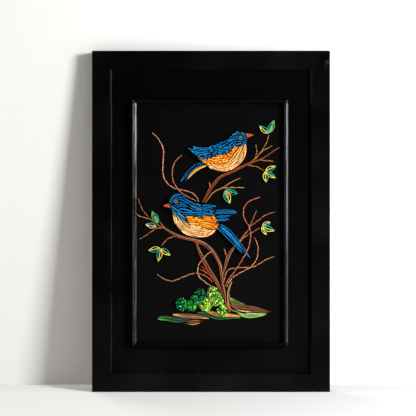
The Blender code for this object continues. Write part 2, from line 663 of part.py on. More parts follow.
def build_bird(name, wing, flank, breast, tail, beak, eye_place, tail_base):
    paper_shape(name + "_wing", wing, wing_height, blue_paper)
    paper_shape(name + "_flank", flank, flank_height, orange_paper, [wing])
    paper_shape(name + "_breast", breast, breast_height, cream_paper, [wing, flank])
    paper_shape(name + "_tail", tail, feather_height, blue_paper, [wing, flank, breast], tail_base)
    paper_shape(name + "_beak", beak, beak_height, beak_orange, [wing])
    eye(name + "_eye", eye_place)


def build_tree():
    branch("left_branch", left_branch, left_branch_twigs, bark_paper, branch_flatness)
    branch("left_stem", left_stem, left_stem_twigs, bark_paper, branch_flatness, [left_branch])
    branch("right_branch", right_branch, right_branch_twigs, bark_paper, branch_flatness, [left_branch])
    branch("trunk_stub", trunk_stub, [], bark_paper, branch_flatness, [left_branch])
    branch("upper_branch", upper_branch, upper_branch_twigs, bark_paper, branch_flatness)
    branch("mid_branch", mid_branch, mid_branch_twigs, bark_paper, branch_flatness)
    branch("low_right_twig", low_right_twig, [], twig_paper, strand_flatness, [left_branch, right_branch])
    singles = {
        "s_twig": s_twig, "long_twig": long_twig, "low_left_twig": low_left_twig, "arc_twig": arc_twig,
        "outer_left_twig": outer_left_twig, "inner_left_twig": inner_left_twig,
    }
    for name, strand in singles.items():
        branch(name, strand, [], twig_paper)


def trunk_side():
    """The ground taken by the trunk, from its left edge to well past the bush."""
    foot = [point for point in left_branch if point[1] < left_stem[0][1]]
    upper = [point for point in left_stem if point[1] < bush_top]
    edge = [(point[0] - point[2] / 2 - press_gap / unit, point[1]) for point in foot + upper]
    edge.insert(0, (edge[0][0], edge[0][1] - cutter_reach))
    far = edge[0][0] + cutter_reach
    return [on_picture(x, z) for x, z in edge + [(far, edge[-1][1]), (far, edge[0][1])]]


def build_bush():
    made = []
    trunk_cutter = add_cutter("trunk_side", standing_shape("trunk_side", trunk_side(), -gap, cut_height))
    for number, (x, z, radius, share) in enumerate(rosettes):
        name = "rosette_" + str(number + 1)
        place = on_picture(x, z)
        size = radius * unit
        height = rosette_height * share
        mesh = dome_mesh(name, *place, size, height, gap, rosette_steps)
        piece = add_piece(name, mesh, rosette_greens[number], bush_roughness)
        smooth_shaded(piece)
        if x > 0:
            subtract(piece, trunk_cutter)
        for other_place, other_size, other_height, other_name in made:
            apart = math.dist(place, other_place)
            if apart > size + other_size:
                continue
            around = dome_mesh(name, *other_place, other_size + press_gap, other_height + press_gap,
                               0.0, rosette_steps)
            subtract(piece, add_cutter(name + "_from_" + other_name, around))
        made.append((place, size, height, name))
        if z - radius < ground_loops["ground_orange"][0][1]:
            cut_clear(piece, smoothed(ground_loops["ground_orange"], curve_steps), band_flatness, press_gap)


def build_ground():
    laid = []
    for name, points in ground_loops.items():
        piece = ground_loop(name, points, ground_colours[name], laid)
        if name in trunk_neighbours:
            cut_clear(piece, trunk_stub, branch_flatness, press_gap)
        laid.append(points)


def build_picture():
    build_bird("lower_bird", lower_wing, lower_flank, lower_breast, lower_tail, lower_beak, lower_eye,
               lifted_base)
    build_bird("upper_bird", upper_wing, upper_flank, upper_breast, upper_tail, upper_beak, upper_eye, gap)
    build_tree()
    for name, (base, leaves) in leaf_groups.items():
        leaf_group(name, base, leaves)
    build_bush()
    build_ground()


parts, cutters = start_clean()
build_frame()
build_box()
build_picture()
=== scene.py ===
import math
import random

import bmesh
import bpy
import numpy as np
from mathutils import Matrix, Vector, noise

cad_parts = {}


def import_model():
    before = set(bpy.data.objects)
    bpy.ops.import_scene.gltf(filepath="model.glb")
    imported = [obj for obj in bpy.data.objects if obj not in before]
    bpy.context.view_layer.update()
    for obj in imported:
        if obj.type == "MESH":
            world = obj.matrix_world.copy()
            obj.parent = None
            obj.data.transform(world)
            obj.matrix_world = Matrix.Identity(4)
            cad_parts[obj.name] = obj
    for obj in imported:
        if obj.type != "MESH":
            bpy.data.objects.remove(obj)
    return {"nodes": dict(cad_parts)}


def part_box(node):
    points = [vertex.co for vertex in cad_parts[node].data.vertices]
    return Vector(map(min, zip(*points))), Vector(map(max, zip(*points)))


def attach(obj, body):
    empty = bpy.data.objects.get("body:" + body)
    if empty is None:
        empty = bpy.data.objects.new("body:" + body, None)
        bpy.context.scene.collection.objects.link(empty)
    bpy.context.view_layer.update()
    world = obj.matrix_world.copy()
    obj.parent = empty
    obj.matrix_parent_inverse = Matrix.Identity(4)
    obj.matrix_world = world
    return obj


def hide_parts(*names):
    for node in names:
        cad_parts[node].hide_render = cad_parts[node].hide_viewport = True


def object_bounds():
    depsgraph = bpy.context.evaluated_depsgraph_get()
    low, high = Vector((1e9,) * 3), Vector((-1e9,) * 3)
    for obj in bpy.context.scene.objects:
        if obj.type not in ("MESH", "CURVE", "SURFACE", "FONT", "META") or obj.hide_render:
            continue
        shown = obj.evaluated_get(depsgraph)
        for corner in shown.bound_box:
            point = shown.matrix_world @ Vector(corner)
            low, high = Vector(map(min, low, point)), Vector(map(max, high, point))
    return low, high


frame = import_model()
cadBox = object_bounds()

# The paper picture is laid out in millimetres from the middle of the black panel, x right and z up.
mm = 0.001
glue = 0.3      # the paper stands this far in front of the panel
fullTurn = 2 * math.pi
panelLow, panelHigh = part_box("art_panel")
picture = {"x": (panelLow.x + panelHigh.x) / 2, "z": (panelLow.z + panelHigh.z) / 2, "front": -panelLow.y}


def place(x, z, rise):
    return (picture["x"] + x * mm, -picture["front"] - rise * mm, picture["z"] + z * mm)


def dye(red, green, blue):
    # a colour as read on a screen, 0 to 255, made into light
    return tuple(v / 255 / 12.92 if v < 11 else ((v / 255 + 0.055) / 1.055) ** 2.4
                 for v in (red, green, blue))


def shaded(tint, shade):
    return tuple(min(v * shade, 1.0) for v in tint)


def pick(palette, rng, vary=0.14):
    shade = rng.uniform(1 - vary, 1 + vary)
    return shaded(rng.choice(palette), shade)


def blendTints(first, second, share):
    return tuple(a + (b - a) * share for a, b in zip(first, second))


# Meshes are gathered strip by strip, then made into one piece.

def newStock():
    return {"points": [], "faces": [], "tints": []}


def weave(stock, rows, tint, aroundRows=False, capped=False):
    # Rows of points joined into a skin. tint is one colour, a list with one for each row, or a function
    # of the place in the row.
    base = len(stock["points"])
    tall, wide = len(rows), len(rows[0])
    for r, row in enumerate(rows):
        for c, spot in enumerate(row):
            stock["points"].append(place(*spot))
            stock["tints"].append(tint(c) if callable(tint) else tint[r] if isinstance(tint, list) else tint)
    for r in range(tall if aroundRows else tall - 1):
        here, above = base + r * wide, base + (r + 1) % tall * wide
        for c in range(wide):
            following = (c + 1) % wide
            stock["faces"].append((here + c, here + following, above + following, above + c))
    if capped:
        stock["faces"].append(tuple(range(base, base + wide))[::-1])
        stock["faces"].append(tuple(range(base + (tall - 1) * wide, base + tall * wide)))


def addObject(name, data):
    thing = bpy.data.objects.new(name, data)
    bpy.context.scene.collection.objects.link(thing)
    return thing


def pieceName(node):
    first, *others = node.split("_")
    return first + "".join(word.capitalize() for word in others)


def makePiece(node, stock, material, smoothAngle=38):
    # the piece stands for the solid that it is named after
    mesh = bpy.data.meshes.new(pieceName(node))
    mesh.from_pydata(stock["points"], [], stock["faces"])
    if stock["tints"]:
        tints = mesh.attributes.new("stripTintAndShade", "FLOAT_COLOR", "POINT")
        tints.data.foreach_set("color", [v for tint in stock["tints"] for v in (*tint, 1.0)])
    shape = bmesh.new()
    shape.from_mesh(mesh)
    bmesh.ops.recalc_face_normals(shape, faces=shape.faces)
    for face in shape.faces:
        face.smooth = True
    shape.to_mesh(mesh)
    shape.free()
    mesh.set_sharp_from_angle(angle=math.radians(smoothAngle))
    mesh.materials.append(material)
    piece = addObject(pieceName(node), mesh)
    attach(piece, "root")
    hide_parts(node)


# Finishes

def setInputs(tree, node, inputs):
    # an input takes another node's socket, or a value of its own
    for key, value in inputs.items():
        if isinstance(value, bpy.types.NodeSocket):
            tree.links.new(value, node.inputs[key])
        else:
            node.inputs[key].default_value = value


def addNode(tree, kind, inputs=None, **settings):
    node = tree.nodes.new("ShaderNode" + kind)
    for key, value in settings.items():
        setattr(node, key, value)
    setInputs(tree, node, inputs or {})
    return node


def mathNode(tree, operation, *values, clamp=False):
    return addNode(tree, "Math", dict(enumerate(values)), operation=operation, use_clamp=clamp).outputs[0]


def vectorNode(tree, operation, inputs):
    return addNode(tree, "VectorMath", inputs, operation=operation).outputs


def noiseNode(tree, inputs):
    return addNode(tree, "TexNoise", inputs).outputs[0]


def mixColour(tree, share, first, second):
    return addNode(tree, "Mix", {0: share, 6: first, 7: second}, data_type="RGBA").outputs[2]


def spread(tree, value, low, high, outLow=0.0, outHigh=1.0):
    return addNode(tree, "MapRange", {"Value": value, "From Min": low, "From Max": high, "To Min": outLow,
                                      "To Max": outHigh}).outputs["Result"]


def objectSpots(tree):
    return addNode(tree, "TexCoord").outputs["Object"]


def splitSpots(tree, spots):
    return addNode(tree, "SeparateXYZ", {0: spots}).outputs


def newGroup(name, inputs):
    # a value of four numbers makes a colour socket, one of three a vector, and a single one a float
    group = bpy.data.node_groups.new(name, "ShaderNodeTree")
    kinds = {4: "NodeSocketColor", 3: "NodeSocketVector", 1: "NodeSocketFloat"}
    for label, value in inputs.items():
        kind = kinds[len(value) if isinstance(value, tuple) else 1]
        group.interface.new_socket(name=label, in_out="INPUT", socket_type=kind).default_value = value
    return group, group.nodes.new("NodeGroupInput").outputs


def finishGroup(group, results):
    for label in results:
        kind = "NodeSocketColor" if label == "Colour" else "NodeSocketFloat"
        group.interface.new_socket(name=label, in_out="OUTPUT", socket_type=kind)
    setInputs(group, group.nodes.new("NodeGroupOutput"), results)
    return group


def paperFibreAndLightGroup():
    group, given = newGroup("paperFibreAndLight", {
        "Colour": (1, 1, 1, 1), "Fibre Size": 1500.0, "Painted Front Light": 1.2, "Side Shade": 0.7})
    spots = objectSpots(group)
    fibres = noiseNode(group,
                       {"Vector": spots, "Scale": given["Fibre Size"], "Detail": 4.0, "Roughness": 0.65})
    blotches = noiseNode(group, {"Vector": spots, "Scale": 210.0, "Detail": 2.0})
    # painted light and shade: the cut edge of a strip, which faces the viewer, is painted lighter and its
    # dyed sides darker, as the light falls on them
    facing = splitSpots(group, addNode(group, "NewGeometry").outputs["Normal"])["Y"]
    extra = mathNode(group, "MULTIPLY", spread(group, facing, -0.45, -0.95),
                     mathNode(group, "SUBTRACT", given["Painted Front Light"], given["Side Shade"]))
    gain = mathNode(group, "ADD", given["Side Shade"], extra)
    patches = mathNode(group, "MULTIPLY", spread(group, fibres, 0.3, 0.7, 0.86, 1.12),
                       spread(group, blotches, 0.35, 0.65, 0.9, 1.1))
    level = mathNode(group, "MULTIPLY", gain, patches)
    return finishGroup(group, {
        "Colour": vectorNode(group, "SCALE", {0: given["Colour"], "Scale": level})[0],
        "Roughness": spread(group, fibres, 0.3, 0.7, 0.5, 0.78),
        "Height": fibres})


def paintWearAndLightGroup():
    group, given = newGroup("paintWearAndLight", {
        "Colour": (0, 0, 0, 1), "Wear And Highlight Colour": (0.1, 0.1, 0.1, 1), "Stretch": (1, 1, 1), "Gloss": 0.35,
        "Edge Wear And Highlight": 0.5, "Dust": 0.5, "Mottle": 0.0, "Smudge": 0.35})
    spots = objectSpots(group)
    drawn = vectorNode(group, "MULTIPLY", {0: spots, 1: given["Stretch"]})[0]
    grain = noiseNode(group, {"Vector": drawn, "Scale": 340.0, "Detail": 5.0, "Roughness": 0.6})
    smudge = noiseNode(group, {"Vector": spots, "Scale": 14.0, "Detail": 4.0})
    specks = addNode(group, "TexVoronoi", {"Vector": spots, "Scale": 130.0, "Randomness": 1.0}).outputs
    rareSpeck = mathNode(group, "MULTIPLY", spread(group, specks["Distance"], 0.2, 0.06),
                         spread(group, specks["Color"], 0.64, 0.68))
    dust = mathNode(group, "MULTIPLY", rareSpeck, given["Dust"])
    # an edge shows where the rounded normal turns away from the face's own
    turned = vectorNode(group, "DOT_PRODUCT", {
        0: addNode(group, "Bevel", {"Radius": 0.0005}, samples=4).outputs[0],
        1: addNode(group, "NewGeometry").outputs["True Normal"]})["Value"]
    highlightAndWear = mathNode(group, "MULTIPLY", spread(group, turned, 0.985, 0.85), spread(group, smudge, 0.3, 0.7))
    share = mathNode(group, "ADD", mathNode(group, "MULTIPLY", highlightAndWear, given["Edge Wear And Highlight"]), dust, clamp=True)
    # streaks along the grain in the colour and the roughness; on the rim strips they streak the painted
    # highlight
    streak = mathNode(group, "MULTIPLY", spread(group, grain, 0.35, 0.65, -0.5, 0.5), given["Mottle"])
    smudged = mathNode(group, "MULTIPLY", spread(group, smudge, 0.3, 0.7, -0.5, 0.5), given["Smudge"])
    gain = mathNode(group, "ADD", mathNode(group, "ADD", smudged, 1.02),
                    mathNode(group, "MULTIPLY", streak, 2.6))
    tone = vectorNode(group, "SCALE",
                      {0: given["Colour"], "Scale": mathNode(group, "MAXIMUM", gain, 0.08)})[0]
    rough = mathNode(group, "ADD", given["Gloss"], spread(group, smudge, 0.3, 0.7, -0.06, 0.1))
    rough = mathNode(group, "ADD", rough, streak)
    return finishGroup(group, {
        "Colour": mixColour(group, share, tone, given["Wear And Highlight Colour"]),
        "Roughness": mathNode(group, "ADD", rough, mathNode(group, "MULTIPLY", share, 0.3), clamp=True),
        "Height": grain})


paperFibreAndLight = paperFibreAndLightGroup()
paintWearAndLight = paintWearAndLightGroup()


def startMaterial(name, group, settings, bump, shine):
    # the group gives the colour, the roughness and the height of the bumps
    material = bpy.data.materials.new(name)
    material.use_nodes = True
    tree = material.node_tree
    effect = addNode(tree, "Group", settings, node_tree=group, name=group.name)
    bumps = addNode(tree, "Bump", {"Height": effect.outputs["Height"], **bump})
    setInputs(tree, tree.nodes["Principled BSDF"], {
        "Base Color": effect.outputs["Colour"], "Roughness": effect.outputs["Roughness"],
        "Normal": bumps.outputs["Normal"], **shine})
    return material


paperBump, paperShine = {"Strength": 0.35, "Distance": 0.0001}, {"Specular IOR Level": 0.05}


def paperFinish(name, fibreSize, paintedFrontLight, sideShade, bump=paperBump, shine=paperShine):
    material = startMaterial(name, paperFibreAndLight, {"Fibre Size": fibreSize, "Painted Front Light": paintedFrontLight,
                                                "Side Shade": sideShade}, bump, shine)
    tree = material.node_tree
    strips = addNode(tree, "Attribute", attribute_name="stripTintAndShade")
    setInputs(tree, tree.nodes["paperFibreAndLight"], {"Colour": strips.outputs["Color"]})
    return material


def paintFinish(name, look):
    settings = {"Colour": (*look["colour"], 1), "Wear And Highlight Colour": (*look["worn"], 1), "Gloss": look["gloss"],
                "Edge Wear And Highlight": look["edgeWearAndHighlight"], "Dust": look["dust"], "Mottle": look.get("mottle", 0.0),
                "Smudge": look.get("smudge", 0.35), "Stretch": look.get("stretch", (1, 1, 1))}
    return startMaterial(name, paintWearAndLight, settings, {"Strength": look.get("bump", 0.3), "Distance": 0.00008},
                         {"Specular IOR Level": look["specular"]})


def dress(node, material):
    for slot in frame["nodes"][node].material_slots:
        slot.material = material


# Outlines and routes

def topOutline(node):
    # the edge of a solid's front face, in picture millimetres
    mesh = frame["nodes"][node].data
    top = min(v.co.y for v in mesh.vertices)
    keys = [tuple(round(c, 6) for c in v.co) for v in mesh.vertices]
    sides = {}
    for polygon in mesh.polygons:
        corners = [keys[i] for i in polygon.vertices]
        if all(abs(corner[1] - top) < 1e-5 for corner in corners):
            for a, b in zip(corners, corners[1:] + corners[:1]):
                if (b, a) in sides:      # a side that two faces share lies inside the outline
                    del sides[(b, a)]
                else:
                    sides[(a, b)] = True
    ahead = {a: b for a, b in sides}
    loops = []
    while ahead:
        start, spot = ahead.popitem()
        loop = [start]
        while spot != start and spot in ahead:
            loop.append(spot)
            spot = ahead.pop(spot)
        loops.append(loop)
    return [((x - picture["x"]) / mm, (z - picture["z"]) / mm) for x, _, z in max(loops, key=len)]


def directions(spots):
    along = np.gradient(spots, axis=0)
    return along / (np.linalg.norm(along, axis=1)[:, None] + 1e-9)


def curveValue(before, start, end, beyond, share):
    return start + 0.5 * share * (end - before + share * (2 * before - 5 * start + 4 * end - beyond
                                                          + share * (3 * start - before - 3 * end + beyond)))


def routeOf(points, step):
    # an even run of stations along a smooth curve through the points: x, z, width, lift
    knots = [tuple(p) + (0.0,) * (4 - len(p)) for p in points]
    last = len(knots) - 1
    fine = []
    for i in range(last):
        near = [knots[min(max(i + k, 0), last)] for k in (-1, 0, 1, 2)]
        for share in np.arange(0, 1, 0.1):
            fine.append([curveValue(*values, share) for values in zip(*near)])
    fine = np.array(fine + [knots[-1]], float)
    run = np.concatenate([[0], np.cumsum(np.hypot(*np.diff(fine[:, :2], axis=0).T))])
    at = np.linspace(0, run[-1], max(int(run[-1] / step), 4) + 1)
    x, z, width, lift = (np.interp(at, run, fine[:, k]) for k in range(4))
    spots = np.stack([x, z], 1)
    along = directions(spots)
    return {"run": at, "spots": spots, "along": along, "across": np.stack([-along[:, 1], along[:, 0]], 1),
            "width": width, "lift": np.clip(lift, 0.0, max(knot[3] for knot in knots))}


def tube(stock, route, offset, rise, radius, tint, flat, sides):
    rows = []
    for k, (spot, across) in enumerate(zip(route["spots"], route["across"])):
        centre = spot + across * offset[k]
        row = []
        for s in range(sides):
            angle = fullTurn * (s + 0.25) / sides
            up = rise[k] + math.sin(angle) * radius[k] * flat
            row.append((*(centre + across * math.cos(angle) * radius[k]), max(up, glue)))
        rows.append(row)
    weave(stock, rows, tint, capped=True)


def closedStrip(stock, outer, inner, low, high, tint):
    # a strip of paper stood on edge and closed on itself, with its top edge slightly softened
    soften, drop = 0.16, 0.12

    def between(share):
        return [(a[0] + (b[0] - a[0]) * share, a[1] + (b[1] - a[1]) * share) for a, b in zip(outer, inner)]
    rings = ((outer, low), (outer, high - drop), (between(soften), high), (between(1 - soften), high),
             (inner, high - drop), (inner, low))
    weave(stock, [[(x, z, rise) for x, z in ring] for ring, rise in rings], tint, aroundRows=True)


def shrunk(outline, amount):
    # the outline drawn in by the amount, whichever way round it runs
    ahead, behind = outline[1:] + outline[:1], outline[-1:] + outline[:-1]
    turn = 1.0 if sum(a[0] * b[1] - b[0] * a[1] for a, b in zip(outline, ahead)) > 0 else -1.0
    result = []
    for last, spot, following in zip(behind, outline, ahead):
        here = Vector(spot)
        before, after = (here - Vector(last)).normalized(), (Vector(following) - here).normalized()
        inward = (Vector((-before.y, before.x)) + Vector((-after.y, after.x))) * turn
        if inward.length > 1e-4:
            here = here + inward.normalized() * amount
        result.append((here.x, here.y))
    return result


def sheet(stock, outline, low, high, tint):
    weave(stock, [[(x, z, rise) for x, z in outline] for rise in (low, high)], tint, capped=True)


print("stage: finishes and shape tools ready")

# Routes of the branches and twigs: x, z, width and, where it rises, its lift, all in millimetres.
routes = {
    "left_branch": [[
        (28.6, -132.4, 4.6), (26.2, -126.4, 4.2), (24.3, -122, 3.2), (22.9, -117, 2.6),
        (22.3, -110.2, 2.6), (21.6, -103.7, 4), (19.9, -97, 4.6), (18.2, -90.5, 5.2), (17.6, -84, 5.5),
        (17.1, -78, 5.4), (16.1, -71.5, 5.2), (15.3, -65, 6.4), (12.4, -57, 7), (6.7, -46.4, 6.6),
        (-0.9, -37.4, 6.4), (-11.2, -29.6, 6.4), (-24, -25, 6.6), (-39.4, -21.8, 6.4),
        (-49.4, -18.6, 5.8), (-55.4, -15.4, 4.6), (-60.4, -12.4, 3.8), (-67.4, -7.7, 3),
        (-72, -2.3, 2.4), (-75, 2.3, 1.7),
    ], [
        (-65.5, -9, 2.2), (-71.9, -6.2, 2.1), (-75.2, -4.6, 2), (-79.3, -2.2, 1.8), (-83.4, 0.9, 1.8),
        (-86.8, 3.6, 1.9), (-92, 6.2, 2), (-98.5, 8.3, 1.7, 3.6), (-105.5, 11, 1.5, 8),
        (-112.5, 15, 1, 8.2),
    ], [
        (-88.6, 5.4, 1.8), (-92.3, 9.8, 1.8), (-96.4, 14.2, 1.7), (-100.5, 19.6, 1.6), (-104.5, 29, 1.5),
        (-107.3, 37, 1),
    ], [
        (-67, -8.2, 2.4), (-73, -7.4, 2.4), (-81, -8.6, 2.3), (-90.5, -15, 2), (-99, -20.7, 1.8),
        (-105, -23.7, 1.2),
    ], [
        (-49, -19, 2.4), (-59.3, -21.6, 2.2), (-66.5, -26.7, 1.9), (-70.6, -32, 1.7), (-72.2, -35, 1.3),
    ]],
    "left_stem": [[
        (20.6, -112.5, 1), (19.8, -109.2, 1.6), (17.3, -103.7, 3), (14.3, -97, 4.6), (11, -90.4, 5.8),
        (6.2, -81.5, 6.3), (-0.4, -72.1, 6.5), (-5.6, -63.1, 6.4), (-10.2, -54.2, 6.2),
        (-14.6, -45.2, 5.6), (-18.4, -36, 5), (-21.2, -26, 4.6),
    ], [
        (9.5, -91, 3.4), (2.6, -81, 3.4), (-3.6, -75.2, 3.2), (-12.4, -69.8, 2.8), (-15.4, -68.4, 1.8),
    ], [
        (3.6, -77.6, 2.6), (-2.9, -72.6, 2.6), (-8, -68.4, 2.2), (-12.9, -64.2, 1.2),
    ]],
    "right_branch": [[
        (18, -79, 2.4), (19.6, -72.5, 3.2), (21.6, -66, 4.6), (23.6, -58.4, 5), (26.2, -51, 4.8),
        (29.6, -43.8, 4.6), (34.8, -36.8, 4.6), (41.4, -29, 4.4), (47.4, -21.4, 4), (52.8, -14.6, 3.4),
        (56.6, -9.4, 3), (59, -4, 2.4), (63.5, 6.5, 2), (68.5, 18.3, 1.4),
    ], [
        (57.8, -6.5, 2), (64.5, -1, 2.2), (72, 4.5, 2.1), (82.5, 12, 1.9), (96.8, 16.6, 1.4),
    ], [
        (43, -28, 2.6), (52.5, -19.8, 2.6), (60, -15, 2.2), (68, -10.5, 1.9), (73.6, -7, 1.4),
    ], [
        (23, -62, 3.4), (23.2, -57, 3.6), (23.8, -50, 3.4), (22.8, -44.6, 3), (20.2, -38.6, 2),
    ]],
    "trunk_stub": [[
        (30.8, -124.6, 2), (29.2, -122, 3.6), (27.6, -119.4, 4.2), (26.6, -116, 4.4), (26, -110.2, 4.6),
        (26.6, -103.7, 5), (28.2, -96.6, 4.8), (30, -91, 4.2), (31.8, -87, 2.8),
    ]],
    "upper_branch": [[
        (-11, 31, 3.4), (-5.8, 39.6, 4.4), (-0.8, 48.7, 5.2), (5.1, 57.4, 5.2), (11.4, 65.2, 5),
        (19.8, 70.7, 4.8), (28.7, 74.1, 4.5), (36.7, 77.5, 4.3), (44.8, 82, 4.1), (54, 86.6, 3.8),
        (62, 90, 3.1), (68.5, 92.2, 2.7), (76.8, 95.7, 2.2), (86.2, 100.9, 2.2), (94.5, 107.1, 2.1),
        (102.8, 111.8, 1.6),
    ], [
        (55, 87, 2.4), (65.4, 94.4, 2.4), (71.6, 100.9, 2.3), (75.4, 105.2, 2.1), (82, 109.4, 2),
        (91.4, 114, 1.4),
    ], [
        (74, 103.2, 1.9), (78.9, 111.3, 1.9), (83.1, 118.6, 1.8), (85.7, 125.9, 1.7), (86.3, 130.6, 1.3),
    ], [
        (65.2, 94.6, 1.8), (68, 100.9, 1.8), (68.8, 107.1, 1.9), (67.5, 116.5, 1.5),
    ], [
        (70, 92.8, 2), (74.5, 93.2, 2), (80, 92.7, 2.3), (93.5, 91.5, 2),
    ], [
        (53, 86, 1.8), (64.4, 84.5, 1.8), (71.6, 82.2, 1.7), (78.6, 78.2, 1.3),
    ], [
        (1.2, 51, 3.2), (-0.2, 55, 3), (-1.9, 60, 1.6),
    ]],
    "mid_branch": [[
        (-7.2, 30, 2), (-1.4, 38, 2.4), (3, 43.6, 2.6), (9.8, 48.2, 2.6), (17.6, 51.4, 2.6),
        (22.8, 54.4, 2.5), (28, 58.3, 2.4), (36.3, 63, 2.2), (44.6, 66.6, 1.6),
    ], [
        (16.6, 51, 1.8), (24, 52, 2), (34.2, 52.5, 2.2), (50.9, 52.5, 1.8),
    ]],
    "s_twig": [[
        (22.7, -94.2, 1.4), (23.8, -89.4, 1.8), (26.8, -84, 2), (32, -77, 2.1, 1.6),
        (36, -71.5, 2.1, 2.6), (41, -64.5, 2.1, 3), (47, -54.5, 2.1, 6.1), (52, -46, 2.1, 6.6),
        (55.5, -38.5, 2.1, 6.6), (57.8, -32, 2.1, 5.5), (60, -17.5, 2.1, 3), (59, -11, 2.1, 3),
        (57.4, -4.5, 2.1, 2.6), (52.6, 2.5, 2.1), (49, 12.5, 2.1), (50.6, 24, 2.1), (58.1, 32.3, 2),
        (67.5, 36.3, 2), (74.6, 38.6, 1.6),
    ]],
    "long_twig": [[
        (24.7, -95.2, 1.1), (26.6, -89.6, 1.8), (29.8, -84.8, 2), (34.2, -80, 2.1), (44, -73.9, 2.1, 1),
        (54, -68.6, 2.1, 2.4), (59.5, -65.3, 2, 2.8), (64.5, -60, 2, 2.2), (69.5, -51, 1.9),
        (70.5, -34.5, 1.8), (65.5, -21.5, 1.2),
    ]],
    "low_right_twig": [[
        (20, -88, 1.6), (21.4, -81, 1.8), (23.2, -74.6, 2), (26.6, -69.8, 2.2), (33.5, -67.2, 2.2),
        (44, -66.2, 2.2), (53, -66, 2.1), (63.5, -65, 2), (71, -61.5, 1.9), (82.5, -54.5, 1.9),
        (95, -49.5, 1.2),
    ]],
    "low_left_twig": [[
        (3.4, -87.6, 1.2), (0.5, -84.8, 1.6), (-6, -79.2, 1.7), (-18, -74.8, 2), (-27, -75.2, 2.2),
        (-35, -77.9, 2.2), (-52, -85, 2.2), (-58.5, -86, 2.1), (-69, -83, 1.9), (-79, -76, 1.2),
    ]],
    "arc_twig": [[
        (1.5, -94, 1.4), (-4.5, -90, 2), (-13.5, -83, 2.1), (-17.4, -78, 2.1, 2.4),
        (-18.6, -70.5, 2.1, 3), (-17.6, -63.5, 2, 1.2), (-14, -56.5, 2, 3), (-8, -49.5, 2, 4.2),
        (-3.6, -45.6, 1.9, 4.2), (1.8, -42, 1.4, 4.4),
    ]],
    "outer_left_twig": [[
        (-17.3, 31.6, 1.5), (-20.3, 38.1, 2), (-25.3, 43.4, 2.1), (-32.1, 46.4, 2.1), (-43.5, 49.3, 2.1),
        (-51.9, 51, 2.1), (-59.5, 55.2, 2.2), (-66.3, 62.4, 2.2), (-69.7, 70.8, 2.2), (-70.5, 80.6, 2.3),
        (-69.9, 92, 2.3), (-69.3, 105.7, 2.3), (-70.9, 113.3, 2.2), (-74.7, 120.9, 2),
        (-79.6, 127.8, 1.9), (-86.1, 133.8, 1.3),
    ]],
    "inner_left_twig": [[
        (-20.8, 32.6, 1.3), (-30.6, 37.5, 1.9), (-38.9, 42.2, 2), (-43, 45.2, 2, 1.6),
        (-46.5, 48.2, 2, 2.4), (-51.1, 54.8, 2, 2.4), (-54.9, 62.4, 2.1), (-56.4, 69.2, 2.1),
        (-56.4, 76.8, 2.1), (-54.9, 84.4, 2.1), (-51.9, 91.3, 2), (-47.3, 96.2, 2), (-42.4, 100.4, 1.5),
    ]],
}

# Quilled areas: loops of paper on edge, laid along flow lines inside the outline

stride = 0.6      # between two points of a flow line, and of the grid under it
# The gaps are shares of the spacing of the lines, and the longest is a number of points each way.
laying = {"margin": 0.5, "lineGap": 0.74, "seedGap": 0.9, "longest": 220, "bedInset": 0.15, "eyeRoom": 0.8}


def areaField(recipe, outline):
    # how deep each point of a grid lies inside the outline, and which way the paper runs there
    edge = np.array(outline)
    low, high = edge.min(0) - 1, edge.max(0) + 1
    xs, zs = (np.arange(low[k], high[k], stride) for k in (0, 1))
    grid = np.stack(np.meshgrid(xs, zs, indexing="ij"), -1).reshape(-1, 2)
    nearest, inside = np.full(len(grid), 1e9), np.zeros(len(grid), bool)
    for a, b in zip(edge, np.roll(edge, -1, 0)):
        run = b - a
        share = np.clip(((grid - a) @ run) / max(run @ run, 1e-9), 0, 1)
        nearest = np.minimum(nearest, np.hypot(*(grid - a - share[:, None] * run).T))
        if abs(run[1]) > 1e-9:
            crosses = (a[1] > grid[:, 1]) != (b[1] > grid[:, 1])
            inside ^= crosses & (grid[:, 0] < a[0] + (grid[:, 1] - a[1]) * run[0] / run[1])
    depth = np.where(inside, nearest, -nearest)
    guides = [routeOf(guide, 2.0) for guide in recipe["guides"]]
    spots, ways = (np.concatenate([guide[key] for guide in guides]) for key in ("spots", "along"))
    pull = 1.0 / (((grid[:, None, :] - spots[None]) ** 2).sum(2) + 4.0) ** 1.6
    flow = pull @ ways
    size, seed = recipe["curlSize"], recipe["seed"]
    turn = [noise.noise(Vector((x / size, z / size, seed)))
            + 0.5 * noise.noise(Vector((x / size * 2.3, z / size * 2.3, seed + 7))) for x, z in grid]
    angle = np.arctan2(flow[:, 1], flow[:, 0]) + recipe["curl"] * np.array(turn)
    shape = (len(xs), len(zs))
    return {"low": low, "depth": depth.reshape(shape), "angle": angle.reshape(shape),
            "grid": grid[depth > 0.5]}


def lookUp(field, name, x, z):
    table = field[name]
    i, j = (int(round((v - low) / stride)) for v, low in zip((x, z), field["low"]))
    return table[i, j] if 0 <= i < table.shape[0] and 0 <= j < table.shape[1] else -1.0


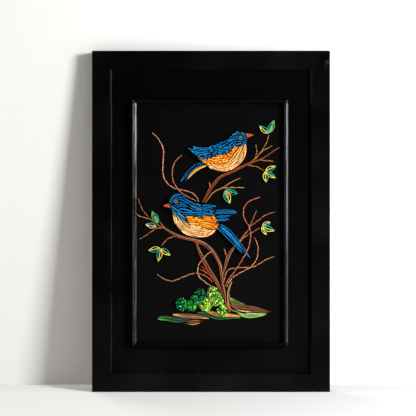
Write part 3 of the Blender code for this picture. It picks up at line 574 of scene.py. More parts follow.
def flowLines(field, spacing, shortest, laid, rng):
    taken, lines = {}, []

    def take(x, z):
        taken.setdefault((int(x // spacing), int(z // spacing)), []).append((x, z))

    def blocked(x, z, gap):
        # too near the edge, or nearer than the gap to a point that is taken
        if lookUp(field, "depth", x, z) < laying["margin"]:
            return True
        ci, cj = int(x // spacing), int(z // spacing)
        return any((px - x) ** 2 + (pz - z) ** 2 < gap * gap for i in (ci - 1, ci, ci + 1)
                   for j in (cj - 1, cj, cj + 1) for px, pz in taken.get((i, j), ()))

    def trace(x, z, sign):
        found = []
        for _ in range(laying["longest"]):
            angle = lookUp(field, "angle", x, z)
            x, z = x + sign * math.cos(angle) * stride, z + sign * math.sin(angle) * stride
            if blocked(x, z, spacing * laying["lineGap"]):
                break
            found.append((x, z))
        return found

    for x, z in laid:
        take(x, z)
    seeds = [tuple(spot) for spot in field["grid"]]
    rng.shuffle(seeds)
    queue = []
    while seeds or queue:
        x, z = queue.pop(0) if queue else seeds.pop()
        if blocked(x, z, spacing * laying["seedGap"]):
            continue
        line = trace(x, z, -1)[::-1] + [(x, z)] + trace(x, z, 1)
        if len(line) * stride < shortest:
            continue
        for spot in line:
            take(*spot)
        lines.append(line)
        for px, pz in line[::4]:
            angle = lookUp(field, "angle", px, pz)
            for sign in (1, -1):
                queue.append((px - sign * math.sin(angle) * spacing, pz + sign * math.cos(angle) * spacing))
    return lines


def quilledLoop(stock, field, line, start, end, recipe, high, tint):
    # one long closed loop whose middle follows the line between two stations
    spots = np.array(line)
    along = directions(spots)
    middle, half = (start + end) / 2, (end - start) / 2
    steps = max(12, min(22, int((end - start) * 1.1) * 2))

    def ring(cut):
        result = []
        for k in range(steps):
            theta = fullTurn * k / steps
            at = middle - (half - cut * 1.5) * math.cos(theta)
            lower = min(max(int(math.floor(at)), 0), len(spots) - 2)
            spot, way = spots[lower] + (spots[lower + 1] - spots[lower]) * (at - lower), along[lower]
            room = max(lookUp(field, "depth", *spot), 0.45)
            wide = max(min(recipe["wide"] / 2, room) - cut * stride, 0.05)
            swell = math.copysign(abs(math.sin(theta)) ** 0.8, math.sin(theta))
            result.append((spot[0] - way[1] * wide * swell, spot[1] + way[0] * wide * swell))
        return result
    closedStrip(stock, ring(0.0), ring(recipe["thick"] / stride), glue, high, tint)


featherCut = {"thick": 0.5, "blunt": 0.55, "narrower": 0.36, "shorter": 0.1, "lower": 0.15}


def feather(stock, points, tints, low, high):
    # nested long loops that share a root, the outer one as wide as the route says
    route = routeOf(points, 1.6)
    for shell, tint in enumerate(tints):
        share = 1 - featherCut["narrower"] * shell
        stop = int((len(route["run"]) - 1) * (1 - featherCut["shorter"] * shell))
        rings = []
        for cut in (0.0, featherCut["thick"]):
            ring = []
            for side, order in ((1, range(stop + 1)), (-1, range(stop - 1, 0, -1))):
                for k in order:
                    swell = math.sin(math.pi * min(max(k / stop, 0.0), 1.0)) ** featherCut["blunt"]
                    wide = max(route["width"][k] / 2 * share * swell - cut, 0.02)
                    ring.append(tuple(route["spots"][k] + route["across"][k] * wide * side))
            rings.append(ring)
        closedStrip(stock, *rings, low, high - featherCut["lower"] * shell, tint)
    return route["spots"]


def loopTint(recipe, spot, rng):
    # the colour of a loop; where an area fades into its neighbour the two palettes are mixed
    palette, fade = recipe["palette"], recipe.get("fade")
    if fade:
        reach = (spot[0] * fade["way"][0] + spot[1] * fade["way"][1] - fade["start"]) / fade["over"]
        if rng.random() < min(reach, 1.0) * fade["most"]:
            palette = fade["palette"]
    return pick(palette, rng, recipe["spread"])


def quill(recipe):
    rng = random.Random(recipe["seed"])
    outline, stock = topOutline(recipe["node"]), newStock()
    field = areaField(recipe, outline)
    top = glue + recipe["top"]
    # painted shade: the bed under the loops is painted darker than the paper, so the gaps between the loops
    # look shaded
    sheet(stock, shrunk(outline, laying["bedInset"]), glue, glue + recipe["bed"], recipe["bedPaintedShade"])
    room = laying["eyeRoom"]
    laid = [(x + room * math.cos(a), z + room * math.sin(a)) for x, z in recipe.get("eye", ())
            for a in np.linspace(0, fullTurn, 9)]
    for points in recipe.get("feathers", ()):
        laid += list(feather(stock, points, [pick([midBlue, clearBlue], rng, 0.1)], glue, top))
    shortest, longest = recipe["lengths"]
    loops = 0
    for line in flowLines(field, recipe["spacing"], shortest * 0.35, laid, rng):
        at, length = 0.0, len(line) - 1
        while at < length - 2:
            end = at + rng.uniform(shortest, longest) / stride
            if length - end < shortest * 0.5 / stride:
                end = length
            high = top - rng.uniform(0, recipe["uneven"])
            tint = loopTint(recipe, line[int((at + end) / 2)], rng)
            quilledLoop(stock, field, line, at, end, recipe, high, tint)
            loops += 1
            at = end + recipe["apart"] / stride
    print("stage:", recipe["node"], "with", loops, "loops")
    makePiece(recipe["node"], stock, quillPaper)


# these papers are painted lighter where they face the viewer and darker on their sides, painted light and
# shade
quillPaper = paperFinish("dyedQuillingStripWithPaintedLight", 1500.0, 1.15, 0.7)
barkStrand = paperFinish("rolledBarkStrand", 1100.0, 1.15, 0.75)
fringePaper = paperFinish("fringedGreenPaper", 1300.0, 1.1, 0.8)

darkBlue, midBlue = dye(10, 102, 160), dye(16, 122, 188)
clearBlue, paleBlue = dye(28, 142, 204), dye(70, 164, 210)
blues = [darkBlue, midBlue, clearBlue, midBlue, clearBlue, darkBlue]
oranges = [dye(252, 190, 56), dye(250, 172, 40), dye(253, 206, 92), dye(246, 152, 28), dye(236, 130, 22)]
creams = [dye(247, 216, 150), dye(242, 202, 130), dye(249, 226, 176), dye(226, 172, 100), dye(240, 194, 116)]

lowerWing = {
    "node": "lower_bird_wing", "slot": "blue_paper",
    "eye": [(-50.5, 31.5)],
    "seed": 11, "top": 7.6, "uneven": 0.8, "bed": 2.6, "bedPaintedShade": dye(2, 18, 40),
    "palette": blues + [paleBlue], "spread": 0.16, "spacing": 2.95, "wide": 1.5, "thick": 0.5, "apart": 0.3,
    "lengths": (15.0, 34.0), "curl": 0.35, "curlSize": 11.0,
    "guides": [
        [(-60, 33), (-57, 39), (-51, 42), (-44, 42), (-36, 37.5), (-26, 31), (-14, 26.5), (-2, 26),
         (8, 24.5)],
        [(-57, 28), (-53, 35), (-47, 36.5), (-38, 33), (-28, 27), (-16, 23), (0, 21), (20, 18.5), (38, 17.5)],
        [(-48, 24), (-43, 27), (-34, 24), (-22, 19), (-8, 16), (10, 14.5), (24, 13), (36, 14.5)],
        [(-36, 14), (-26, 13.5), (-12, 13), (4, 12), (14, 8), (26, 5.5)],
        [(-59, 24), (-52, 16), (-45, 9), (-38, 3.5), (-33.5, 0)],
    ],
    "feathers": [
        [(-12, 25.6, 2.0), (-2, 25.8, 2.8), (9.3, 24.4, 1.4)],
        [(8, 17.6, 2.0), (22, 18.6, 2.6), (38.2, 17.4, 1.6)],
        [(6, 14.4, 2.0), (22, 15.4, 2.6), (40, 15.2, 1.6)], [(9, 9.6, 2.0), (18, 7.4, 2.6), (28, 5.1, 1.4)],
        [(8, 3.6, 2.0), (15, 4.4, 2.4), (24, 3.4, 1.2)],
        [(-57.6, 22, 2.0), (-46, 10.4, 2.8), (-33.6, 0, 1.4)],
    ],
}
upperWing = {
    "node": "upper_bird_wing", "slot": "blue_paper",
    "eye": [(44.5, 125)],
    "seed": 12, "top": 7.6, "uneven": 0.6, "bed": 3.2, "bedPaintedShade": dye(2, 16, 36),
    "palette": blues,
    "spread": 0.12, "spacing": 2.6, "wide": 1.45, "thick": 0.5, "apart": 0.6, "lengths": (4.0, 8.0),
    "curl": 0.9, "curlSize": 6.0,
    "guides": [
        [(53, 127), (50, 132.5), (44, 134), (37, 132), (29, 126), (20, 119.5), (8, 116), (-4, 111),
         (-26, 113.8)],
        [(51, 120), (46, 124), (38, 122), (28, 117), (18, 112), (6, 109), (-8, 106), (-20, 106),
         (-33, 110.5)],
        [(48, 117), (40, 114.5), (32, 111), (24, 105.5), (14, 102.5), (2, 99.5), (-8, 97), (-16, 98),
         (-26, 105)],
    ],
    "feathers": [
        [(-26.6, 113.6, 1.6), (-18, 110.6, 2.5), (-8, 109.6, 2.8), (3, 111.4, 2.4)],
        [(-33.4, 110.6, 1.6), (-24, 107.2, 2.7), (-13, 105.8, 2.9), (-2, 106.4, 2.4)],
        [(-29, 106.4, 1.6), (-21, 103.6, 2.5), (-11, 102.4, 2.7), (0, 103, 2.2)],
    ],
}
lowerFlank = {
    "node": "lower_bird_flank", "slot": "orange_paper",
    "seed": 13, "top": 6.1, "uneven": 0.5, "bed": 3.2, "bedPaintedShade": dye(176, 76, 14), "palette": oranges,
    "spread": 0.09, "spacing": 2.95, "wide": 1.8, "thick": 0.66, "apart": 0.3, "lengths": (13.0, 30.0),
    "curl": 0.3, "curlSize": 10.0,
    "guides": [
        [(-36, 12), (-24, 13), (-8, 13.5), (2, 12), (9, 7.5)],
        [(-35, 6), (-24, 4), (-10, 3), (2, 2.5), (11, -1)],
        [(-31, -2), (-18, -3), (-6, -4.5), (2, -8), (8, -8.5)],
    ],
}
upperFlank = {
    "node": "upper_bird_flank", "slot": "orange_paper",
    "seed": 14, "top": 6.1, "uneven": 0.5, "bed": 3.2, "bedPaintedShade": dye(176, 76, 14), "palette": oranges,
    "spread": 0.08, "spacing": 2.65, "wide": 1.65, "thick": 0.62, "apart": 0.6, "lengths": (4.0, 8.0),
    "curl": 1.1, "curlSize": 5.0,
    "fade": {"palette": creams, "way": (0.55, -0.83), "start": -70.0, "over": 10.0, "most": 0.5},
    "guides": [
        [(-18, 98), (-10, 93.5), (2, 91.5), (14, 91), (24, 93), (30, 99), (36, 106), (42, 113)],
        [(-8, 98), (6, 98), (18, 99), (28, 106), (38, 112)],
    ],
}
lowerBreast = {
    "node": "lower_bird_breast", "slot": "cream_paper",
    "seed": 15, "top": 4.9, "uneven": 0.5, "bed": 2.4, "bedPaintedShade": dye(176, 120, 68), "palette": creams,
    "spread": 0.08, "spacing": 2.85, "wide": 1.7, "thick": 0.64, "apart": 0.3, "lengths": (12.0, 26.0),
    "curl": 0.4, "curlSize": 9.0,
    "fade": {"palette": oranges, "way": (0.5, 0.86), "start": -13.0, "over": 10.0, "most": 0.8},
    "guides": [
        [(-55, 17), (-53.5, 6), (-50, -3), (-43, -11), (-34, -16.5), (-22, -19.5), (-8, -19.5), (4, -14),
         (9, -10)],
        [(-50, 14), (-46, 5), (-40, -3), (-32, -8), (-20, -11), (-6, -11.5), (4, -8)],
        [(-44, 10), (-38, 3), (-32, -3), (-22, -6), (-8, -8)],
    ],
}
upperBreast = {
    "node": "upper_bird_breast", "slot": "cream_paper",
    "seed": 16, "top": 4.9, "uneven": 0.5, "bed": 2.4, "bedPaintedShade": dye(180, 124, 66), "palette": creams,
    "spread": 0.08, "spacing": 2.8, "wide": 1.65, "thick": 0.62, "apart": 0.3, "lengths": (10.0, 22.0),
    "curl": 0.5, "curlSize": 8.0,
    "fade": {"palette": oranges, "way": (-0.55, 0.83), "start": 62.0, "over": 9.0, "most": 0.85},
    "guides": [
        [(-4, 87), (4, 82), (14, 79.5), (26, 80.5), (36, 85), (44, 92), (50, 101), (52, 112), (51.5, 118)],
        [(0, 90), (10, 87), (20, 87.5), (28, 92), (34, 99), (41, 107), (48, 115)],
        [(8, 84), (20, 82.5), (30, 86), (38, 93), (45, 102), (49, 112)],
    ],
}
for recipe in (lowerWing, upperWing, lowerFlank, upperFlank, lowerBreast, upperBreast):
    quill(recipe)


# Tails, beaks and eyes

brightBlue, deepBlue, nightBlue = dye(24, 122, 184), dye(6, 64, 116), dye(3, 26, 58)
tails = {
    "lower_bird_tail": {
        "low": 3.9, "high": 6.4, "feathers": [
            ([(9, -7, 3), (18, -13, 4.4), (27, -21.5, 4.6), (36, -30.5, 4.4), (48.2, -45.6, 2.4)],
             [brightBlue, deepBlue]),
            ([(12, -4, 3), (23, -11.5, 4.4), (34, -22.5, 4.8), (44, -34.5, 4.4), (50, -42, 2.6)],
             [deepBlue, brightBlue, brightBlue]),
            ([(14.5, -1.5, 3), (26, -10, 4.2), (37, -22.5, 4.4), (48, -36.5, 4.2), (58.8, -52, 2.2)],
             [brightBlue, nightBlue]),
        ]},
    "upper_bird_tail": {
        "low": 0.3, "high": 2.8, "feathers": [
            ([(-4, 90.5, 2.6), (-16, 87, 4.4), (-26, 80.8, 4.6), (-35, 72, 4.2), (-44.6, 60.6, 2.2)],
             [brightBlue, nightBlue]),
            ([(-2, 86.5, 2.6), (-12, 82.8, 4.2), (-21, 78.2, 4.6), (-29, 70.8, 4.2), (-37.2, 61, 2.2)],
             [deepBlue, dye(255, 186, 8), dye(255, 150, 4)]),
        ]},
}
for node, tail in tails.items():
    rng, stock = random.Random(21), newStock()
    for number, (points, tints) in enumerate(tail["feathers"]):
        shades = [pick([tint], rng, 0.1) for tint in tints]
        feather(stock, points, shades, tail["low"], tail["high"] - 0.12 * number)
    makePiece(node, stock, quillPaper)

beaks = {"lower_bird_beak": 31, "upper_bird_beak": 32}      # each with the seed of its shades
beak = {"tints": [dye(190, 82, 44), dye(150, 52, 28), dye(222, 112, 66)], "body": dye(120, 40, 20),
        "bodyHigh": 4.4, "high": 6.3, "lower": 0.2, "shells": 3, "apart": 1.0, "thick": 0.55}
for node, seed in beaks.items():
    rng, stock, outline = random.Random(seed), newStock(), topOutline(node)
    # painted shade: the body under the shells is painted darker than them, so the gaps between the shells
    # look shaded
    sheet(stock, shrunk(outline, 0.5), glue, glue + beak["bodyHigh"], beak["body"])
    for shell in range(beak["shells"]):
        inset = 0.1 + beak["apart"] * shell
        closedStrip(stock, shrunk(outline, inset), shrunk(outline, inset + beak["thick"]), glue,
                    glue + beak["high"] - beak["lower"] * shell, pick(beak["tints"], rng))
    makePiece(node, stock, quillPaper)

beadGloss = paperFinish("eyeBead", 900.0, 1.0, 0.9, {"Strength": 0.04},
                        {"Coat Weight": 0.06, "Specular IOR Level": 0.1, "Coat Roughness": 0.06})
eyes = {"lower_bird_eye": ((-50.5, 31.5), 2.5), "upper_bird_eye": ((44.5, 125), 2.2)}      # middle and radius
eye = {"ring": dye(142, 130, 72), "bead": dye(1, 1, 1), "low": 8.3, "ringHigh": 9.3, "beadHigh": 9.2,
       "sides": 24, "hole": 0.68, "beadWide": 0.64, "steps": 5}


def circle(centre, radius):
    angles = [fullTurn * k / eye["sides"] for k in range(eye["sides"])]
    return [(centre[0] + radius * math.cos(a), centre[1] + radius * math.sin(a)) for a in angles]


for node, (centre, radius) in eyes.items():
    stock, rows = newStock(), []
    closedStrip(stock, circle(centre, radius), circle(centre, radius * eye["hole"]), eye["low"],
                eye["ringHigh"], eye["ring"])
    for step in range(eye["steps"] + 1):
        lift = math.radians(84) * step / eye["steps"]
        rise = eye["low"] + (eye["beadHigh"] - eye["low"]) * math.sin(lift)
        rows.append([(x, z, rise) for x, z in circle(centre, radius * eye["beadWide"] * math.cos(lift))])
    weave(stock, rows, eye["bead"], capped=True)
    makePiece(node, stock, beadGloss, smoothAngle=60)
print("stage: birds done")


# The tree: bundles of strands side by side, and twisted twigs

# strand colours of each branch, from the left of its growth to the right
barks = {
    "left_branch": [dye(164, 64, 34), dye(80, 46, 32), dye(146, 110, 84), dye(84, 52, 36), dye(168, 102, 66)],
    "left_stem": [dye(162, 72, 36), dye(58, 34, 26), dye(116, 84, 66), dye(158, 54, 28)],
    "right_branch": [dye(132, 82, 52), dye(70, 44, 30), dye(140, 104, 76), dye(194, 102, 58)],
    "trunk_stub": [dye(126, 86, 54), dye(172, 128, 84), dye(66, 44, 30), dye(182, 138, 92)],
    "upper_branch": [dye(150, 76, 42), dye(62, 28, 20), dye(124, 60, 36), dye(176, 110, 64)],
    "mid_branch": [dye(176, 124, 66), dye(92, 56, 34), dye(150, 98, 54)],
}
sideTints = {
    "left_branch": (dye(172, 104, 64), dye(84, 44, 30)), "left_stem": (dye(188, 78, 34), dye(110, 44, 26)),
    "right_branch": (dye(170, 90, 50), dye(76, 42, 28)), "upper_branch": (dye(168, 112, 60), dye(86, 52, 32)),
    "mid_branch": (dye(184, 126, 66), dye(108, 68, 40)),
}
twigTints = {
    "s_twig": (dye(178, 96, 66), dye(118, 64, 44)), "long_twig": (dye(190, 126, 90), dye(126, 80, 56)),
    "low_right_twig": (dye(182, 108, 70), dye(120, 70, 48)),
    "low_left_twig": (dye(166, 108, 74), dye(112, 72, 50)),
    "arc_twig": (dye(184, 132, 100), dye(126, 88, 66)),
    "outer_left_twig": (dye(188, 126, 98), dye(128, 84, 66)),
    "inner_left_twig": (dye(172, 102, 72), dye(116, 70, 52)),
}
strandWork = {
    "step": 1.0, "branchFlat": 0.55, "strandWidth": 1.9, "fullness": 0.4, "coreHigh": 0.8, "twigStep": 0.8,
    "twist": 11.0, "twigWidth": 0.86, "twigFlat": 0.75, "finest": 0.26, "wander": 0.16, "wanderRun": 9.0,
    "toneChange": 0.45, "toneRun": 11.0, "twigChange": 0.5, "twigRun": 8.0,
}


def bundle(stock, points, lanes, rng, flat, strandWidth, fullness):
    # lanes are the colours of the strands, which lie side by side over a core painted dark, painted shade in
    # the grooves between them
    route = routeOf(points, strandWork["step"])
    width, run, floor = route["width"], route["run"], glue + route["lift"]
    count = max(2, round(max(width) / strandWidth))
    core, coreFlat = width * 0.4, flat * strandWork["coreHigh"]
    tube(stock, route, width * 0, floor + core * flat * strandWork["coreHigh"], core,
         shaded(lanes[len(lanes) // 2], 0.3), coreFlat, 8)
    for number in range(count):
        phase = rng.uniform(0, 6.28)
        wander = strandWork["wander"] * np.sin(run / strandWork["wanderRun"] + phase)
        sway = np.clip(1 - 2 * (number + 0.5) / count + wander, -0.97, 0.97)
        radius = np.maximum(width / count * fullness, strandWork["finest"])
        rise = floor + radius + np.sqrt(1 - sway ** 2) * np.maximum(width * flat - 2 * radius, 0.0)
        # a strand's shade changes a little from its first end to its last
        first, last = (pick([lanes[number * len(lanes) // count]], rng, 0.1) for _ in range(2))
        tones = [shaded(blendTints(first, last, (r / run[-1]) ** 0.6),
                        1 + strandWork["toneChange"]
                        * noise.noise(Vector((r / strandWork["toneRun"], number * 3.1, phase)))) for r in run]
        tube(stock, route, sway * np.maximum(width / 2 - radius, 0.0), rise, radius, tones, 1.0, 7)


def rope(stock, points, tints, rng):
    # two strands twisted together
    route = routeOf(points, strandWork["twigStep"])
    width, run = route["width"] * strandWork["twigWidth"], route["run"]
    radius = width * 0.3
    room = np.maximum(width * strandWork["twigFlat"] - 2 * radius, 0.0)
    start = rng.uniform(0, 6.28)
    for number in (0, 1):
        angle = start + run * 2 * math.pi / strandWork["twist"] + math.pi * number
        rise = glue + route["lift"] + radius + (1 + np.sin(angle)) * 0.5 * room
        tint, phase = pick([tints[number]], rng, 0.06), rng.uniform(0, 50)
        tones = [shaded(tint, 1 + strandWork["twigChange"]
                        * noise.noise(Vector((r / strandWork["twigRun"], phase, 0.0)))) for r in run]
        tube(stock, route, np.cos(angle) * (width / 2 - radius), rise, radius, tones, 1.0, 6)


rng = random.Random(41)
for node, strands in routes.items():
    stock = newStock()
    if node in barks:
        bundle(stock, strands[0], barks[node], rng, strandWork["branchFlat"], strandWork["strandWidth"],
               strandWork["fullness"])
        for side in strands[1:]:
            rope(stock, side, sideTints[node], rng)
    else:
        rope(stock, strands[0], twigTints[node], rng)
    makePiece(node, stock, barkStrand)
print("stage: tree done")


# Leaves: two slender loops side by side from one base, teal on one side and yellow on the other

teal, deepTeal, leafGreen, yellow, peach = (dye(50, 150, 122), dye(20, 104, 92), dye(104, 174, 92),
                                            dye(226, 196, 66), dye(228, 190, 124))
leaves = {
    "leaves_top": {"base": (86.2, 132.6), "loops": [
        ((94.5, 152.5), 4.4, teal, leafGreen), ((72.5, 144), 4.0, yellow, teal)]},
    "leaves_upper_right": {"base": (81, 76.4), "loops": [
        ((97.6, 84.3), 4.0, yellow, teal), ((97.1, 66.6), 3.7, teal, yellow),
        ((83.1, 59.8), 4.1, teal, yellow)]},
    "leaves_mid": {"base": (21.4, 48.2), "loops": [
        ((29, 28.6), 5.3, yellow, teal), ((41, 43.2), 4.3, teal, deepTeal)]},
    "leaves_right": {"base": (76.4, -5), "loops": [
        ((89.5, 1.5), 3.7, peach, teal), ((95.5, -12), 4.2, teal, yellow), ((83.5, -18), 3.6, teal, yellow)]},
    "leaf_left_upper": {"base": (-77.4, -0.8), "loops": [
        ((-86.4, 17.6), 4.7, leafGreen, teal)]},
    "leaf_left_lower": {"base": (-79.5, -5.2), "loops": [((-96.5, -2), 4.0, peach, teal)]},
    "leaves_low_left": {"base": (-73.5, -37.6), "loops": [
        ((-92, -41), 4.2, teal, yellow), ((-77.5, -57.5), 4.2, yellow, teal),
        ((-59, -48), 4.2, teal, yellow)]},
}
leafCut = {"thick": 0.6, "top": 3.1, "spine": 0.1, "steps": 13, "innerWidth": 0.42, "innerFrom": 4.3,
           "innerReach": (0.16, 0.6), "innerThick": 0.45}


def halfLeaf(base, run, across, halfWidth, cut, reach=(0.02, 1.0)):
    # one half of a leaf as a closed ring, from the spine to the edge and drawn in by the cut
    ring, steps, spine = [], leafCut["steps"], leafCut["spine"]
    first, final = reach[0] + cut * 1.6 / run.length, reach[1] - cut * 2.2 / run.length
    for edge, order in ((True, range(steps + 1)), (False, range(steps - 1, 0, -1))):
        for k in order:
            share = k / steps
            wide = halfWidth * math.sin(math.pi * share ** 0.85)
            out = wide - cut if edge else spine + cut
            if wide - cut < spine + cut:
                out = (wide + spine) / 2
            ring.append(tuple(base + run * (first + share * (final - first)) + across * out))
    return ring


def makeLeaves(node, group, rng):
    stock = newStock()
    for number, (tip, halfWidth, left, right) in enumerate(group["loops"]):
        base = Vector(group["base"])
        run = Vector(tip) - base
        across = Vector((-run.y, run.x)).normalized()
        high = glue + leafCut["top"] - 0.12 * number
        for side, tint in ((1, left), (-1, right)):
            tone, out = pick([tint], rng, 0.1), across * side
            closedStrip(stock, *(halfLeaf(base, run, out, halfWidth, cut) for cut in (0.0, leafCut["thick"])),
                        glue, high, tone)
            if halfWidth < leafCut["innerFrom"]:
                continue
            # a smaller loop stands inside each half of a wide leaf, near its base
            shift, narrow = out * halfWidth * 0.2, halfWidth * leafCut["innerWidth"]
            rings = (halfLeaf(base + shift, run, out, narrow, cut, leafCut["innerReach"])
                     for cut in (0.0, leafCut["innerThick"]))
            closedStrip(stock, *rings, glue, high - 0.25,
                        blendTints(tone, deepTeal if side > 0 else peach, 0.3))
    makePiece(node, stock, quillPaper)


for node, group in leaves.items():
    makeLeaves(node, group, random.Random(sum(map(ord, pieceName(node)))))
print("stage: leaves done")


# The bush: rosettes of fringed paper, each a mound of small folded blades

# each green: the colour near the root, painted dark as painted shade deep among the blades, then the colours
# that the blades' tips take
darkTeal = (dye(1, 14, 8), [dye(4, 62, 38), dye(38, 140, 98), dye(2, 40, 24)])
tealGreen = (dye(1, 26, 10), [dye(10, 118, 60), dye(64, 198, 116), dye(4, 66, 32)])
midGreen = (dye(4, 48, 12), [dye(40, 160, 60), dye(110, 214, 96), dye(20, 108, 36)])
freshGreen = (dye(8, 50, 8), [dye(90, 192, 58), dye(184, 240, 96), dye(26, 112, 34)])
lime = (dye(20, 72, 4), [dye(154, 226, 64), dye(228, 252, 142), dye(60, 150, 26)])
yellowGreen = (dye(44, 104, 8), [dye(206, 254, 84), dye(244, 255, 150), dye(110, 206, 48)])
rosettes = [
    ((-42, -121), 8.5, 0.92, tealGreen), ((-14.5, -106), 8.5, 0.92, darkTeal),
    ((-28, -122), 8.2, 0.85, midGreen), ((-20.5, -114), 7.5, 1.0, tealGreen),
    ((-6.5, -121), 9.5, 0.95, yellowGreen), ((4.5, -104), 9, 1.0, lime), ((12, -112.5), 8.4, 0.88, lime),
    ((5, -115), 7.5, 0.8, lime), ((18.4, -129.6), 8.0, 0.9, freshGreen),
]
fringe = {"tips": 118, "seat": 0.66, "length": (3.9, 5.8), "width": (2.0, 3.0), "thick": 0.3, "fold": 0.3,
          "height": 8.6, "mound": 0.7, "shade": (0.3, 1.6), "highest": 9.1}
wood = [(spot, width) for strand in ("left_branch", "left_stem", "trunk_stub")
        for way in [routeOf(routes[strand][0], 2.0)] for spot, width in zip(way["spots"], way["width"])]


def bladeRows(seat, way, normal, length, width, droop):
    # a blade folded along its middle, so its two halves take the light differently
    wideWay = way.cross(normal).normalized()
    up = wideWay.cross(way).normalized()
    rows = []
    for share, wide in ((0.0, 0.3), (0.35, 0.95), (0.65, 0.85), (1.0, 0.05)):
        middle = seat + way * length * share - normal * droop * share * share
        side, lift = wideWay * width * 0.5 * wide, up * width * fringe["fold"] * wide
        body = up * fringe["thick"] * 0.5
        corners = (middle + side + lift, middle + body, middle - side + lift, middle - body)
        rows.append([(x, z, min(max(rise, glue), fringe["highest"])) for x, z, rise in corners])
    return rows


def isBuried(seat, number):
    return any(i != number and ((seat.x - x) / radius) ** 2 + ((seat.y - z) / radius) ** 2
               + ((seat.z - glue) / (fringe["height"] * share)) ** 2 < 0.6
               for i, ((x, z), radius, share, _) in enumerate(rosettes))


def isInWood(spot, number):
    # the last rosette stands in front of the trunk's foot
    return any(math.hypot(spot.x - at[0], spot.y - at[1]) < wide / 2 + 0.7
               or (spot.x > at[0] and abs(spot.y - at[1]) < 1.2)
               for at, wide in wood if number != 8 or at[1] > -133)


def makeRosette(number, rng):
    (x, z), radius, share, (root, tips) = rosettes[number]
    height, mound = fringe["height"] * share, fringe["mound"]
    stock, rows = newStock(), []
    for step in range(7):
        lift = math.radians(88) * step / 6
        rows.append([(x + radius * mound * math.cos(lift) * math.cos(a),
                      z + radius * mound * math.cos(lift) * math.sin(a),
                      glue + height * mound * math.sin(lift))
                     for a in np.linspace(0, fullTurn, 19)[:-1]])
    # painted shade: the mound under the blades is painted in half the root's dark colour
    weave(stock, rows, shaded(root, 0.5), capped=True)
    golden = math.pi * (3 - math.sqrt(5))
    for k in range(fringe["tips"]):
        up = 1 - (k + 0.5) / fringe["tips"]
        around, flatness = golden * k + rng.uniform(-0.3, 0.3), math.sqrt(1 - up * up)
        normal = Vector((math.cos(around) * flatness, math.sin(around) * flatness, up))
        seat = (Vector((x, z, glue))
                + Vector((normal.x * radius, normal.y * radius, normal.z * height)) * fringe["seat"])
        first = normal.orthogonal().normalized()
        length, width = rng.uniform(*fringe["length"]), rng.uniform(*fringe["width"])
        # a blade that would reach into the wood is turned another way, then shortened
        for attempt in range(8):
            swing = rng.uniform(0, fullTurn)
            way = first * math.cos(swing) + normal.cross(first) * math.sin(swing)
            # the low blades point outward, so the mound's edge is ragged
            way = way * 0.6 + normal * 1.1 if up < 0.5 else way + normal * rng.uniform(0.3, 1.1)
            way = way.normalized()
            reach = length * (1.0 if attempt < 4 else 0.6)
            inWood = x > 0 and any(isInWood(spot, number) for spot in (seat, seat + way * reach))
            if not inWood:
                break
        if inWood or isBuried(seat, number):
            continue
        blade = bladeRows(seat, way, normal, reach, width, rng.uniform(-0.4, 0.8))
        shade, tip = rng.uniform(*fringe["shade"]), rng.choice(tips)
        weave(stock, blade, [shaded(blendTints(root, tip, s), shade) for s in (0.05, 0.6, 0.95, 1.0)],
              capped=True)
    makePiece("rosette_" + str(number + 1), stock, fringePaper)


for number in range(len(rosettes)):
    makeRosette(number, random.Random(60 + number))
print("stage: bush done")


# The ground: long loops side by side over a body painted darker than the loops, painted shade in the gaps
# between them. A band's loops are listed from its upper side down, each with the colour of its first end and
# of its last.

bandWork = {"thick": 0.55, "high": 3.0, "body": 1.2, "step": 1.4, "gap": 0.12, "uneven": 0.3,
            "toneChange": 0.5, "toneRun": 9.0}


def laneLoop(stock, route, low, high, top, tints, phase, gap):
    run = route["run"]
    last = len(run) - 1

    def ring(cut):
        at = np.linspace(cut * 1.6, run[-1] - cut * 1.6, len(run))
        x, z, acrossX, acrossZ = (np.interp(at, run, route[key][:, axis])
                                  for key in ("spots", "across") for axis in (0, 1))
        half = np.interp(at, run, route["width"]) / 2
        middle, swell = half * (low + high) / 2, np.maximum(half * (high - low) / 2 - cut - gap, 0.03)
        return [(x[k] + acrossX[k] * (middle[k] + sign * swell[k]),
                 z[k] + acrossZ[k] * (middle[k] + sign * swell[k]))
                for sign, order in ((1, range(last + 1)), (-1, range(last - 1, 0, -1))) for k in order]

    def tone(c):
        share = min(c / last, 2 - c / last)
        change = noise.noise(Vector((share * run[-1] / bandWork["toneRun"], phase, 0.0)))
        return shaded(blendTints(*tints, 1 - (1 - share) ** 3), 1 + bandWork["toneChange"] * change)
    closedStrip(stock, ring(0.0), ring(bandWork["thick"]), glue, top, tone)


